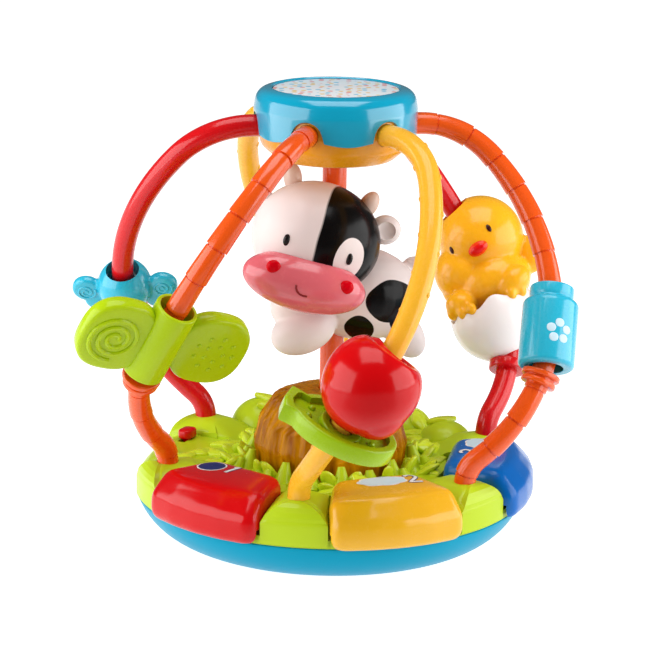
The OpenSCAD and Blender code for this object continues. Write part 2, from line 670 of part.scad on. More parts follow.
module chick_bore() {
    rotate([0, 0, -chick_turn]) side_bore(8, 60, 30);
    rotate([0, 0, -chick_turn]) translate([2.35, 6.5, -60]) cylinder(r = 8.4, h = 32);
}
module chick() color("gold") on_tube(2, chick_s) rotate([0, 0, chick_turn]) difference() {
    union() {
        translate(head_at) sphere(r = chick_r);
        translate([0, -3, -2]) lump(19.5, 15);
        for (side = [-1, 1]) {
            translate([4 + 21 * side, -1, 3]) rotate([0, 30 * side, 0]) lump(5, 9);
            translate([-1 + 13 * side, -15, -8]) rotate([0, -20 * side, 0]) long_lump(6.8, 9);
        }
    }
    translate(egg_at) difference() {
        sphere(r = egg_r + fit_gap);
        translate([0, 0, 30 + 6]) cube([90, 90, 60], center = true);
    }
    translate(head_at) sphere(r = chick_r - 3);
    chick_bore();
}
module egg() color("white") on_tube(2, chick_s) rotate([0, 0, chick_turn]) difference() {
    translate(egg_at) sphere(r = egg_r);
    translate(egg_at) sphere(r = egg_r - 2.5);
    translate(egg_at) translate([0, 0, 30 + 6]) cube([90, 90, 60], center = true);
    for (i = [0:7]) translate(egg_at) rotate([0, 0, i * 45 + 10]) translate([0, -egg_r, 7])
        rotate([0, 45, 0]) cube([8, 16, 8], center = true);
    translate([-50, -50, egg_end_z - 50]) cube([100, 100, 50]);
    chick_bore();
}

base_bowl();
garden_deck();
hay_dome();
centre_post();
tube_yellow_front();
tube_orange_right();
tube_red_rear();
tube_yellow_rear();
tube_red_left();
tube_orange_left();
cap_cover();
cap_dish();
cap_disc();
cap_screws();
base_screws();
post_screw();
battery_door();
door_screw();
cells();
cell_contacts();
circuit_board();
speaker();
lamp();
key_domes();
switch_body();
switch_knob();
key_red();
key_yellow();
key_blue();
cow_body();
cow_head();
cow_muzzle();
butterfly();
bug();
apple();
leaf_ring();
roller();
chick();
egg();
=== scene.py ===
import math

import bmesh
import bpy
from mathutils import Matrix, Vector, noise
from mathutils.bvhtree import BVHTree


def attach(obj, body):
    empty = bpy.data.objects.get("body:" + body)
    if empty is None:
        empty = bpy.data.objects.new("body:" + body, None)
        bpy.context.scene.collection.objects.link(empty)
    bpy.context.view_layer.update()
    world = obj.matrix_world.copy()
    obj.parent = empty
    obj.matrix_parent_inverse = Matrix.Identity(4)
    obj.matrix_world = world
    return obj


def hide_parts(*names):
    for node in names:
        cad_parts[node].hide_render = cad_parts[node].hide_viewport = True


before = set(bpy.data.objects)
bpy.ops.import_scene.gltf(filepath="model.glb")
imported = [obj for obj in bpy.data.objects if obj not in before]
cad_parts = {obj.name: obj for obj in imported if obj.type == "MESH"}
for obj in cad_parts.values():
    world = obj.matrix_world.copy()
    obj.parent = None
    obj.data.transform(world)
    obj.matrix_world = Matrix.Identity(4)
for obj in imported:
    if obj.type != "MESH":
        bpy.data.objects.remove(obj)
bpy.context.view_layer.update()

# Shapes are built in millimetres and scaled to metres when a piece is made.
MM = 0.001

DOWN = Vector((0, 0, -1))


# Small geometry helpers


def turn(axis, degrees):
    return Matrix.Rotation(math.radians(degrees), 4, axis)


def move(x, y, z):
    return Matrix.Translation((x, y, z))


def stretch(x, y, z):
    return Matrix.Diagonal((x, y, z, 1))


def bearing_point(bearing, radius, height):
    """Point at a bearing, which is counted from the front towards the right."""
    angle = math.radians(bearing)
    return Vector((radius * math.sin(angle), -radius * math.cos(angle), height))


def axes_at(place, x, y, z):
    """Frame at a place, with the given axes."""
    return Matrix.Translation(place) @ Matrix((x, y, z)).transposed().to_4x4()


def aimed(place, direction, axis, up):
    """Frame at a place, with one axis along a direction."""
    return Matrix.Translation(place) @ direction.to_track_quat(axis, up).to_matrix().to_4x4()


def angles_round(count):
    """Angles in even steps, once round."""
    return [2 * math.pi * i / count for i in range(count)]


def ahead_at(line, i):
    """Direction of a line of points at one of them."""
    return (line[min(i + 1, len(line) - 1)] - line[max(i - 1, 0)]).normalized()


def arc(centre, radius, start, end, steps):
    points = []
    for i in range(steps + 1):
        angle = math.radians(start + (end - start) * i / steps)
        points.append((centre[0] + radius * math.cos(angle), centre[1] + radius * math.sin(angle)))
    return points


def rounded(corners, steps=6, closed=True):
    """Outline through (x, y, corner radius), with each corner turned into an arc."""
    points = []
    last = len(corners) - 1
    for i, (x, y, radius) in enumerate(corners):
        corner = Vector((x, y))
        if radius == 0 or (not closed and i in (0, last)):
            points.append((x, y))
            continue
        back = (Vector(corners[i - 1][:2]) - corner).normalized()
        on = (Vector(corners[(i + 1) % len(corners)][:2]) - corner).normalized()
        half = back.angle(on) / 2
        centre = corner + (back + on).normalized() * radius / math.sin(half)
        start = corner + back * radius / math.tan(half) - centre
        end = corner + on * radius / math.tan(half) - centre
        sweep_angle = start.angle_signed(end)
        for j in range(steps + 1):
            spoke = Matrix.Rotation(-sweep_angle * j / steps, 2) @ start
            points.append(tuple(centre + spoke))
    return points


# Meshes


def mesh_data(name, mesh):
    """Blender's mesh from a working mesh, which is used up."""
    data = bpy.data.meshes.new(name)
    mesh.to_mesh(data)
    mesh.free()
    return data


def in_scene(name, data):
    """New object in the scene."""
    thing = bpy.data.objects.new(name, data)
    bpy.context.scene.collection.objects.link(thing)
    return thing


def join(*meshes):
    """One mesh from several, which are used up."""
    whole = bmesh.new()
    for part in meshes:
        data = mesh_data("part", part)
        whole.from_mesh(data)
        bpy.data.meshes.remove(data)
    return whole


def placed(mesh, matrix):
    mesh.transform(matrix)
    return mesh


def bridge(mesh, rows, closed=True):
    """Faces between each row of points and the next."""
    for here, there in zip(rows, rows[1:]):
        count = len(here)
        for i in range(count if closed else count - 1):
            k = (i + 1) % count
            mesh.faces.new((here[i], here[k], there[k], there[i]))


def lathe(profile, steps=96, shape=None, closed=True):
    """Turns (radius, height) points about z. shape(angle, radius, height) may vary them round the axis."""
    mesh = bmesh.new()
    rings = []
    for angle in angles_round(steps):
        ring = []
        for radius, height in profile:
            if shape:
                radius, height = shape(angle, radius, height)
            ring.append(mesh.verts.new((radius * math.sin(angle), -radius * math.cos(angle), height)))
        rings.append(ring)
    bridge(mesh, rings + rings[:1], closed)
    bmesh.ops.remove_doubles(mesh, verts=mesh.verts, dist=1e-4)
    bmesh.ops.recalc_face_normals(mesh, faces=mesh.faces)
    return mesh


def sweep(frames, radii, sides=24):
    """Tube through frames, each a matrix whose x and y axes span the ring."""
    mesh = bmesh.new()
    rings = []
    for matrix, radius in zip(frames, radii):
        ring = []
        for angle in angles_round(sides):
            spoke = Vector((radius * math.cos(angle), radius * math.sin(angle), 0))
            ring.append(mesh.verts.new(matrix @ spoke))
        rings.append(ring)
    bridge(mesh, rings)
    mesh.faces.new(rings[0])
    mesh.faces.new(rings[-1])
    bmesh.ops.recalc_face_normals(mesh, faces=mesh.faces)
    return mesh


def path_frames(points):
    """Frames along a line of points, carried along it so that their rings don't twist."""
    frames = []
    side = None
    for i, point in enumerate(points):
        ahead = ahead_at(points, i)
        if side is None:
            side = ahead.orthogonal()
        side = (side - ahead * side.dot(ahead)).normalized()
        frames.append(axes_at(point, side, ahead.cross(side), ahead))
    return frames


def ball(radii, matrix=Matrix(), sides=32):
    mesh = bmesh.new()
    bmesh.ops.create_uvsphere(mesh, u_segments=sides, v_segments=sides // 2, radius=1)
    return placed(mesh, matrix @ stretch(*radii))


def plate(outline, thickness, edge, bulge=0.0):
    """Flat piece in the xz plane, thickness along y, with rounded edges and faces that may bulge."""
    mesh = bmesh.new()
    count = len(outline)
    middle = Vector((sum(p[0] for p in outline) / count, sum(p[1] for p in outline) / count))
    rings = []
    for i in range(9):
        angle = math.radians(-90 + 180 * i / 8)
        inset = edge * (1 - math.cos(angle))
        depth = (thickness / 2 - edge) * (1 if i > 4 else -1 if i < 4 else 0) + edge * math.sin(angle)
        ring = []
        for x, z in outline:
            away = Vector((x, z)) - middle
            scale = max(0.0, 1 - inset / max(away.length, 1e-6))
            spot = middle + away * scale
            ring.append(mesh.verts.new((spot.x, -depth, spot.y)))
        rings.append(ring)
    bridge(mesh, rings)
    for ring, side in ((rings[0], 1), (rings[-1], -1)):
        fills = [ring]
        for share in (0.75, 0.5, 0.25):
            inner = []
            for vert in ring:
                spot = Vector((middle.x, 0, middle.y)).lerp(Vector((vert.co.x, 0, vert.co.z)), share)
                rise = bulge * (1 - share * share)
                inner.append(mesh.verts.new((spot.x, vert.co.y + side * rise, spot.z)))
            fills.append(inner)
        bridge(mesh, fills)
        mesh.faces.new(fills[-1])
    bmesh.ops.recalc_face_normals(mesh, faces=mesh.faces)
    return mesh


def evaluated(mesh, set_modifiers):
    """The mesh after the modifiers that set_modifiers adds to a passing object."""
    data = mesh_data("part", mesh)
    stand_in = in_scene("part", data)
    set_modifiers(stand_in)
    graph = bpy.context.evaluated_depsgraph_get()
    result = bpy.data.meshes.new_from_object(stand_in.evaluated_get(graph))
    bpy.data.objects.remove(stand_in)
    out = bmesh.new()
    out.from_mesh(result)
    bpy.data.meshes.remove(result)
    bpy.data.meshes.remove(data)
    return out


def melted(mesh, voxel=0.8, rounds=8):
    """Overlapping forms grown into one skin with soft joins."""

    def add(thing):
        remesh = thing.modifiers.new("remesh", "REMESH")
        remesh.mode = "VOXEL"
        remesh.voxel_size = voxel
        soften = thing.modifiers.new("soften", "SMOOTH")
        soften.factor = 0.5
        soften.iterations = rounds

    return evaluated(mesh, add)


def cut_by(mesh, *cutters):
    """The mesh less the cutters."""
    cutter_data = mesh_data("cutter", join(*cutters))
    cutter = in_scene("cutter", cutter_data)

    def add(thing):
        cut = thing.modifiers.new("cut", "BOOLEAN")
        cut.operation = "DIFFERENCE"
        cut.solver = "EXACT"
        cut.use_self = True
        cut.object = cutter

    out = evaluated(mesh, add)
    bpy.data.objects.remove(cutter)
    bpy.data.meshes.remove(cutter_data)
    return out


def rod(radius, low, high, matrix=Matrix(), sides=48):
    """Straight round rod along z, for bores and pins."""
    mesh = bmesh.new()
    bmesh.ops.create_cone(
        mesh, cap_ends=True, segments=sides, radius1=radius, radius2=radius, depth=high - low)
    return placed(mesh, matrix @ move(0, 0, (low + high) / 2))


def hull(balls):
    """Tight skin round balls, each (centre, radius)."""
    mesh = bmesh.new()
    for centre, radius in balls:
        form = ball((radius,) * 3, Matrix.Translation(centre), 24)
        for vert in form.verts:
            mesh.verts.new(vert.co)
        form.free()
    skin = bmesh.ops.convex_hull(mesh, input=list(mesh.verts))
    spare = skin["geom_interior"] + skin["geom_unused"]
    inside = {part for part in spare if isinstance(part, bmesh.types.BMVert)}
    bmesh.ops.delete(mesh, geom=list(inside), context="VERTS")
    return mesh


# Pieces


def piece(name, mesh, body, material, stands_for=(), sharp=40):
    """Makes an object from a mesh in millimetres, rides it on a body and gives it its material."""
    mesh.transform(Matrix.Scale(MM, 4))
    data = mesh_data(name, mesh)
    for face in data.polygons:
        face.use_smooth = True
    data.set_sharp_from_angle(angle=math.radians(sharp))
    data.materials.append(material)
    thing = in_scene(name, data)
    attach(thing, body)
    if stands_for:
        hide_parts(*stands_for)


def dress(name, material):
    """Gives a solid that shows as it is a better material."""
    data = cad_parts[name].data
    data.materials.clear()
    data.materials.append(material)


# Shader groups


def srgb(red, green, blue):
    """Display colour in 0 to 255 as the linear colour a shader takes."""
    linear = []
    for value in (red, green, blue):
        v = value / 255
        linear.append(v / 12.92 if v <= 0.04045 else ((v + 0.055) / 1.055) ** 2.4)
    return (*linear, 1.0)


def feed(tree, target, inputs):
    """Gives inputs of a node their values, or links from other nodes' outputs."""
    for name, value in inputs.items():
        if isinstance(value, bpy.types.NodeSocket):
            tree.links.new(value, target.inputs[name])
        else:
            target.inputs[name].default_value = value


def node(tree, kind, inputs, **settings):
    """Adds a shader node."""
    made = tree.nodes.new("ShaderNode" + kind)
    for name, value in settings.items():
        setattr(made, name, value)
    feed(tree, made, inputs)
    return made


def object_place(tree):
    return node(tree, "TexCoord", {}).outputs["Object"]


def mottle(tree, place, scale, detail=2, roughness=0.5):
    """Noise between 0 and 1."""
    inputs = {"Vector": place, "Scale": scale, "Detail": detail, "Roughness": roughness}
    return node(tree, "TexNoise", inputs).outputs["Fac"]


def ranged(tree, value, low, high, to_low=0, to_high=1):
    """A value that runs from to_low to to_high while the given one runs from low to high."""
    inputs = {"Value": value, "From Min": low, "From Max": high, "To Min": to_low, "To Max": to_high}
    return node(tree, "MapRange", inputs).outputs["Result"]


def maths(tree, operation, *values, clamp=False):
    """Result of a sum on values or outputs."""
    return node(tree, "Math", dict(enumerate(values)), operation=operation, use_clamp=clamp).outputs["Value"]


def new_group(name, inputs, outputs):
    group = bpy.data.node_groups.new(name, "ShaderNodeTree")
    for label, kind, value in inputs:
        socket = group.interface.new_socket(label, in_out="INPUT", socket_type=kind)
        socket.default_value = value
    for label, kind in outputs:
        group.interface.new_socket(label, in_out="OUTPUT", socket_type=kind)
    return group, group.nodes.new("NodeGroupInput"), group.nodes.new("NodeGroupOutput")


def moulded_skin_group():
    """Injection-moulded plastic: faint colour drift, uneven gloss and a fine orange-peel surface."""
    group, given, out = new_group(
        "moulded_skin",
        [
            ("Colour", "NodeSocketColor", (0.8, 0.8, 0.8, 1)),
            ("Roughness", "NodeSocketFloat", 0.25),
            ("Drift", "NodeSocketFloat", 0.06),
        ],
        [("Colour", "NodeSocketColor"), ("Roughness", "NodeSocketFloat"), ("Height", "NodeSocketFloat")],
    )
    place = object_place(group)
    shade = ranged(group, mottle(group, place, 55, 4), 0, 1, -1, 1)
    amount = maths(group, "MULTIPLY_ADD", shade, given.outputs["Drift"], 1)
    tint = node(group, "VectorMath", {0: given.outputs["Colour"], "Scale": amount}, operation="SCALE")
    worn = ranged(group, mottle(group, place, 260, 8, 0.75), 0.45, 0.8, 0, 0.1)
    feed(group, out, {
        "Colour": tint.outputs["Vector"],
        "Roughness": maths(group, "ADD", given.outputs["Roughness"], worn),
        "Height": mottle(group, place, 900, 3),
    })
    return group


def paint_patch_group():
    """Mask of a painted oval: 1 inside an ellipsoid, given in metres, with a soft uneven edge."""
    group, given, out = new_group(
        "paint_patch",
        [
            ("Place", "NodeSocketVector", (0, 0, 0)),
            ("Centre", "NodeSocketVector", (0, 0, 0)),
            ("Size", "NodeSocketVector", (0.01, 0.01, 0.01)),
            ("Waver", "NodeSocketFloat", 0.1),
        ],
        [("Mask", "NodeSocketFloat")],
    )
    place = given.outputs["Place"]
    offset = node(group, "VectorMath", {0: place, 1: given.outputs["Centre"]}, operation="SUBTRACT")
    shares = {0: offset.outputs["Vector"], 1: given.outputs["Size"]}
    share = node(group, "VectorMath", shares, operation="DIVIDE").outputs["Vector"]
    reach = node(group, "VectorMath", {0: share}, operation="LENGTH").outputs["Value"]
    wander = maths(group, "SUBTRACT", mottle(group, place, 70, 0), 0.5)
    edge = maths(group, "MULTIPLY_ADD", wander, given.outputs["Waver"], reach)
    feed(group, out, {"Mask": ranged(group, edge, 1.012, 0.988)})
    return group


MOULDED_SKIN = moulded_skin_group()
PAINT_PATCH = paint_patch_group()


# Materials


def new_material(name):
    material = bpy.data.materials.new(name)
    material.use_nodes = True
    tree = material.node_tree
    return material, tree, tree.nodes["Principled BSDF"]


def recolour(material, colour):
    """Feeds a plastic's colour from a node's output."""
    tree = material.node_tree
    feed(tree, tree.nodes["skin"], {"Colour": colour})
    return material


def plastic(name, colour, roughness=0.26, coat=0.3, glow=0.0, drift=0.03, peel=0.03, shine=0.2):
    """Glossy moulded plastic. coat is its lacquer, shine its own mirror, glow how far light soaks in."""
    material, tree, shader = new_material(name)
    look = {"Colour": colour, "Roughness": roughness, "Drift": drift}
    skin = node(tree, "Group", look, node_tree=MOULDED_SKIN, name="skin")
    bump = node(tree, "Bump", {"Strength": peel, "Distance": 0.0005, "Height": skin.outputs["Height"]})
    feed(tree, shader, {
        "Base Color": skin.outputs["Colour"],
        "Roughness": skin.outputs["Roughness"],
        "Normal": bump.outputs["Normal"],
        "Specular IOR Level": shine,
        "Coat Weight": coat,
        "Coat Roughness": 0.12,
    })
    if glow:
        feed(tree, shader, {
            "Subsurface Weight": glow,
            "Subsurface Radius": (0.004, 0.003, 0.002),
            "Subsurface Scale": 0.5,
        })
    return material


def painted(name, colour, patches, spin=None):
    """Plastic with painted ovals: each patch is (centre mm, size mm, colour, waver)."""
    material = plastic(name, colour, roughness=0.22, coat=0.05, shine=0.15)
    tree = material.node_tree
    place = object_place(tree)
    if spin:
        centre, degrees = spin
        about = {"Vector": place, "Center": Vector(centre) * MM, "Angle": math.radians(degrees)}
        place = node(tree, "VectorRotate", about, rotation_type="Y_AXIS").outputs["Vector"]
    paint = colour
    for centre, size, patch_colour, waver in patches:
        oval = {"Place": place, "Centre": Vector(centre) * MM, "Size": Vector(size) * MM, "Waver": waver}
        mask = node(tree, "Group", oval, node_tree=PAINT_PATCH).outputs["Mask"]
        mix = node(tree, "Mix", {"Factor": mask, "A": paint, "B": patch_colour}, data_type="RGBA")
        paint = mix.outputs["Result"]
    return recolour(material, paint)


def amber():
    """Translucent amber with straw lines running up it."""
    material = plastic("hay_amber", srgb(206, 140, 20), coat=0.15, glow=0.15, shine=0.04)
    tree = material.node_tree
    squeeze = node(tree, "Mapping", {"Vector": object_place(tree), "Scale": (160, 160, 22)})
    ramp = node(tree, "ValToRGB", {"Fac": mottle(tree, squeeze.outputs["Vector"], 1, 3)})
    dark, light = ramp.color_ramp.elements
    dark.position = 0.3
    dark.color = srgb(146, 80, 0)
    light.position = 0.7
    light.color = srgb(214, 146, 4)
    return recolour(material, ramp.outputs["Color"])


def metal(name, colour, roughness):
    """Plated or rolled metal with fine brush lines."""
    material, tree, shader = new_material(name)
    pull = node(tree, "Mapping", {"Vector": object_place(tree), "Scale": (4000, 300, 300)})
    lines = mottle(tree, pull.outputs["Vector"], 1)
    rough = ranged(tree, lines, 0, 1, roughness - 0.08, roughness + 0.12)
    feed(tree, shader, {"Metallic": 1, "Base Color": colour, "Roughness": rough})
    return material


def dotted_label():
    """White printed inlay with small pale dots."""
    white = srgb(240, 243, 246)
    material = plastic("disc_print", white, roughness=0.3, coat=0.2)
    tree = material.node_tree
    cells = node(tree, "TexVoronoi", {"Vector": object_place(tree), "Scale": 240, "Randomness": 0.6})
    dot = ranged(tree, cells.outputs["Distance"], 0.34, 0.28)
    split = node(tree, "SeparateColor", {"Color": cells.outputs["Color"]})
    hue = node(tree, "ValToRGB", {"Fac": split.outputs["Red"]})
    hue.color_ramp.interpolation = "CONSTANT"
    blue, yellow = hue.color_ramp.elements
    blue.color = srgb(120, 196, 226)
    yellow.position = 0.66
    yellow.color = srgb(238, 196, 90)
    hue.color_ramp.elements.new(0.33).color = srgb(236, 140, 130)
    mix = node(tree, "Mix", {"Factor": dot, "A": white, "B": hue.outputs["Color"]}, data_type="RGBA")
    return recolour(material, mix.outputs["Result"])


RED = plastic("gloss_red", srgb(212, 10, 18), coat=0.5)
ORANGE = plastic("gloss_orange", srgb(238, 86, 10), coat=0.8)
YELLOW = plastic("gloss_yellow", srgb(250, 184, 48), coat=0.4, glow=0.08)
CAP_BLUE = plastic("cap_sky_blue", srgb(0, 160, 194), roughness=0.18, coat=1.0)
DISH_YELLOW = plastic("dish_gold", srgb(228, 154, 22), coat=0.4)
BOWL_BLUE = plastic("bowl_sky_blue", srgb(0, 152, 186), roughness=0.3, coat=0.06, shine=0.06)
LIME = plastic("deck_lime", srgb(186, 212, 28), roughness=0.3, coat=0.2)
# Lighter than the deck's lime: painted light, lifting the grass blades and moulded leaves out of the shade
# that falls among them.
GRASS_LIME_PAINTED_LIGHT = plastic("grass_lime_painted_light", srgb(206, 226, 40), coat=0.4)
BUTTERFLY_GREEN = plastic("butterfly_lime", srgb(178, 206, 14), shine=0.1)
LEAF_GREEN = plastic("leaf_lime", srgb(160, 196, 10))
BEAD_BLUE = plastic("bead_sky_blue", srgb(40, 182, 212), coat=0.8)
KEY_RED = plastic("key_red", srgb(206, 2, 8), roughness=0.22, coat=0.5, shine=0.08)
KEY_YELLOW = plastic("key_gold", srgb(238, 178, 30), roughness=0.24, coat=0.5)
KEY_BLUE = plastic("key_blue", srgb(0, 100, 184), roughness=0.22, coat=0.35, shine=0.12)
APPLE_RED = plastic("apple_red", srgb(208, 2, 8), roughness=0.2, coat=0.35, shine=0.12)
CHICK_GOLD = plastic("chick_gold", srgb(252, 182, 28), coat=0.4, glow=0.1)
EGG_WHITE = plastic("egg_white", srgb(248, 243, 242), roughness=0.22, coat=0.4, glow=0.08)
BEAK_RED = plastic("beak_red", srgb(226, 4, 10))
BEAK_ORANGE = plastic("beak_orange", srgb(240, 62, 16))
BROWN_PAINT = plastic("brown_paint", srgb(60, 14, 4), roughness=0.3)
PINK = plastic("muzzle_pink", srgb(224, 106, 116), roughness=0.24, coat=0.9, glow=0.1)
NOSTRIL_RED = plastic("nostril_red", srgb(210, 2, 22), coat=0.05, shine=0.05)
SMILE_RED = plastic("smile_dark_red", srgb(130, 20, 24), roughness=0.3)
BLACK_PAINT = plastic("black_paint", srgb(14, 11, 11))
WHITE_PAINT = plastic("white_paint", srgb(246, 244, 242))
HORN_TAN = plastic("horn_tan", srgb(228, 200, 184), roughness=0.3)
COW_WHITE = plastic("cow_white", srgb(238, 226, 223), roughness=0.22, coat=0.4, glow=0.06)
NUMBER_BLUE = plastic("number_blue", srgb(16, 36, 110), roughness=0.3)
SKY_PRINT = plastic("sky_print", srgb(206, 232, 244), roughness=0.3)
RUBBER = plastic("dome_rubber", srgb(178, 178, 176), roughness=0.6, coat=0.0, peel=0.15)
BLACK_PLASTIC = plastic("black_plastic", srgb(26, 26, 28), roughness=0.5, coat=0.0, peel=0.12)
BOARD_GREEN = plastic("board_green", srgb(20, 92, 44), roughness=0.4, coat=0.1, peel=0.1)
LAMP_WHITE = plastic("lamp_white", srgb(246, 240, 224), roughness=0.3, glow=0.3)
CELL_WRAP = plastic("cell_wrapper", srgb(60, 62, 66), roughness=0.3, coat=0.3)
STEEL = metal("screw_steel", srgb(188, 188, 190), 0.32)
HAY = amber()
LABEL = dotted_label()
BLACK = srgb(10, 8, 8)
WHITE = srgb(238, 226, 223)


# Tube route, with the same driving sizes as the solids

TUBE_R = 5.0
TUBE_Z = 193.0
START_R = 20.0
START_BEARING = 35.5
HEADING = START_BEARING + 9.0
RUN_IN = 18.5
SHOULDER_ROLL = -31.0
SHOULDER = (39.0, 54.0)
SIDE = (103.0, 54.0)
HIP_ROLL = 46.0
HIP = (66.0, 53.0)
ANKLE_R = 15.0
SOCKET_FLOOR_Z = 28.0
SIXTH = 60.0


def roll(spot, degrees):
    return spot @ turn("Z", -degrees)


def bend(spot, radius, degrees):
    """Follows a bend: a route frame has its z axis up the tube and its -y axis out of the bend."""
    pivot = move(0, radius, 0)
    return spot @ pivot @ turn("X", degrees) @ pivot.inverted()


def route_start():
    ahead = bearing_point(HEADING, 1, 0)
    side = bearing_point(HEADING + 90, 1, 0)
    return axes_at(bearing_point(START_BEARING, START_R, TUBE_Z), side, DOWN, -ahead)


def arc_length(radius, degrees):
    return radius * math.radians(degrees)


shoulder_spot = roll(route_start() @ move(0, 0, -RUN_IN), SHOULDER_ROLL)
side_spot = bend(shoulder_spot, *SHOULDER)
hip_spot = roll(bend(side_spot, *SIDE), HIP_ROLL)
hip_end = bend(hip_spot, *HIP)
forward = -hip_end.col[2].to_3d()
ankle_turn = math.degrees(forward.angle(DOWN))
ankle_in = (DOWN - forward * forward.dot(DOWN)).normalized()
ankle_spot = axes_at(hip_end.translation, ankle_in.cross(-forward), ankle_in, -forward)
foot_spot = bend(ankle_spot, ANKLE_R, ankle_turn)
side_s = RUN_IN + arc_length(*SHOULDER)
hip_s = side_s + arc_length(*SIDE)
ankle_s = hip_s + arc_length(*HIP)
foot_s = ankle_s + arc_length(ANKLE_R, ankle_turn)
end_s = foot_s + foot_spot.translation.z - SOCKET_FLOOR_Z
FOOT_BEARING = math.degrees(math.atan2(foot_spot.translation.x, -foot_spot.translation.y))
BENDS = (
    (RUN_IN, side_s, shoulder_spot, SHOULDER[0]),
    (side_s, hip_s, side_spot, SIDE[0]),
    (hip_s, ankle_s, hip_spot, HIP[0]),
    (ankle_s, foot_s, ankle_spot, ANKLE_R),
)


def station(s):
    """Route frame of the first tube at a distance along it."""
    if s < RUN_IN:
        return route_start() @ move(0, 0, -s)
    for start, end, spot, radius in BENDS:
        if s < end:
            return bend(spot, radius, math.degrees((s - start) / radius))
    return foot_spot @ move(0, 0, foot_s - s)


def on_tube(k, s):
    return turn("Z", SIXTH * k) @ station(s)


# Grip tubes

BUG_S = 140.5
BUTTERFLY_S = 141.3
APPLE_S = 152.0
LEAF_S = 178.5
ROLLER_S = 143.0
CHICK_S = 145.0
SEAM_PITCH = 16.3
COLLAR_R = 8.8
COLLAR_HEIGHT = 2.4


def tube(k, seams=()):
    """Bent rod. A jointed one swells a little from seam to seam."""
    step = 2.0
    stations = [i * step for i in range(int(end_s / step) + 1)]
    stations.append(end_s)
    for seam in seams:
        stations.extend(seam + d for d in (-0.3, -0.02, 0.02, 0.78, 0.82))
    stations.sort()
    radii = []
    for s in stations:
        past = min((s - seam for seam in seams if seam <= s), default=SEAM_PITCH / 2)
        swell = 0.45 * (past / SEAM_PITCH - 0.5)
        radii.append(TUBE_R - 0.6 if past < 0.8 else TUBE_R + min(0.22, swell))
    return sweep(path_frames([on_tube(k, s).translation for s in stations]), radii, 32)


def collar(k, s, radius=COLLAR_R, height=COLLAR_HEIGHT):
    inside = TUBE_R - 1
    outline = rounded([(inside, -height, 0), (radius, -height, 0.7), (radius, 0, 0.7), (inside, 0, 0)], 4)
    return placed(lathe(outline, 48), on_tube(k, s))


def pips(k, stations):
    dots = []
    for s in stations:
        spot = on_tube(k, s) @ turn("Z", s * 20) @ move(0, -TUBE_R, 0)
        dots.append(ball((1.2, 0.5, 1.2), spot, 12))
    return dots


def grip_tubes():
    seams = [26 + SEAM_PITCH * i for i in range(13)]
    rear_dots = [28 + 9 * i for i in range(20)]
    front_dots = rear_dots[:11] + [193 + 8 * i for i in range(4)]
    front = join(tube(0), *pips(0, front_dots), collar(0, LEAF_S + 1))
    piece("yellow_tube_front", front, "base", YELLOW, ["tube_yellow_front"])
    rear = join(tube(3), *pips(3, rear_dots))
    piece("yellow_tube_rear", rear, "base", YELLOW, ["tube_yellow_rear"])
    for k, stop, side in ((2, CHICK_S + 42.7, "rear"), (4, BUG_S + 11.5, "left")):
        rods = join(tube(k), collar(k, stop, height=4.5))
        piece("red_tube_" + side, rods, "base", RED, ["tube_red_" + side])
    for k, stop, side in ((1, ROLLER_S + 21.6, "right"), (5, BUTTERFLY_S + 21.25, "left")):
        clear = [s for s in seams if not -3 < s - stop < 8]
        rings = (collar(k, stop), collar(k, stop + 3.4, 8), collar(k, stop, 6.8, 5))
        rods = join(tube(k, clear), *rings)
        piece("orange_tube_" + side, rods, "base", ORANGE, ["tube_orange_" + side])


# Base

RIM_R = 89.5
SEAM_Z = 22.0
DECK_Z = 35.0
SOCKET_Z = 42.0
HAY_R = 35.5
HAY_TOP_Z = 70.0
RUN_GAP = 0.45
ABOVE_Z = 90.0
KEY_HALF = 20.0
KEY_BEARINGS = [FOOT_BEARING + SIXTH / 2 + k * SIXTH for k in (-1, 0, 1)]
SWITCH_BEARING = FOOT_BEARING - 1.75 * SIXTH


def base_bowl():
    """Flat-bottomed bowl with one round wall from the foot to the seam."""
    middle = (61.5, 31.5)
    radius = 29.8
    wall = 2.4
    outer = [(0, 0), (57, 0), (59.4, 0.5), (60.6, 1.6)]
    outer += arc(middle, radius, -90, -20, 20) + [(RIM_R, SEAM_Z - 0.5)]
    inner = [(RIM_R - 0.6, SEAM_Z), (RIM_R - wall, SEAM_Z)]
    inner += arc(middle, radius - wall, -20, -88, 12) + [(58, wall), (0, wall)]
    piece("bowl", lathe(outer + inner, 144), "base", BOWL_BLUE, ["base_bowl"], 25)


def hay_dome():
    """Dome of upright straw: ribs of uneven width run from the deck to the top."""
    hole_r = 6
    wall = 2.2
    outer = rounded(
        [(HAY_R - 1, DECK_Z + 0.1, 0), (HAY_R, DECK_Z + 10, 8), (HAY_R - 2.5, 56, 10), (HAY_R - 9, 66, 6),
         (HAY_R - 18, 69.5, 6), (hole_r, HAY_TOP_Z, 0)],
        8, False,
    )
    inner = [(r - wall, z - 2) for r, z in reversed(outer[1:-1])]

    def straw(angle, radius, height):
        lean = angle + 0.1 * math.sin(height * 0.2 + 3 * angle)
        spot = Vector((math.cos(lean) * 9, math.sin(lean) * 9, height * 0.03))
        rib = noise.noise(spot) * 1.1 + 0.5 * math.sin(lean * 46 + 2 * noise.noise(spot * 0.5))
        share = min(1.0, max(0.0, (radius - 8) / 16))
        return radius + (rib - 0.5) * share, height

    profile = outer + [(hole_r, HAY_TOP_Z - wall)] + inner + [(HAY_R - 1 - wall, DECK_Z + 0.1)]
    piece("hay", lathe(profile, 260, straw), "base", HAY, ["hay_dome"], 60)


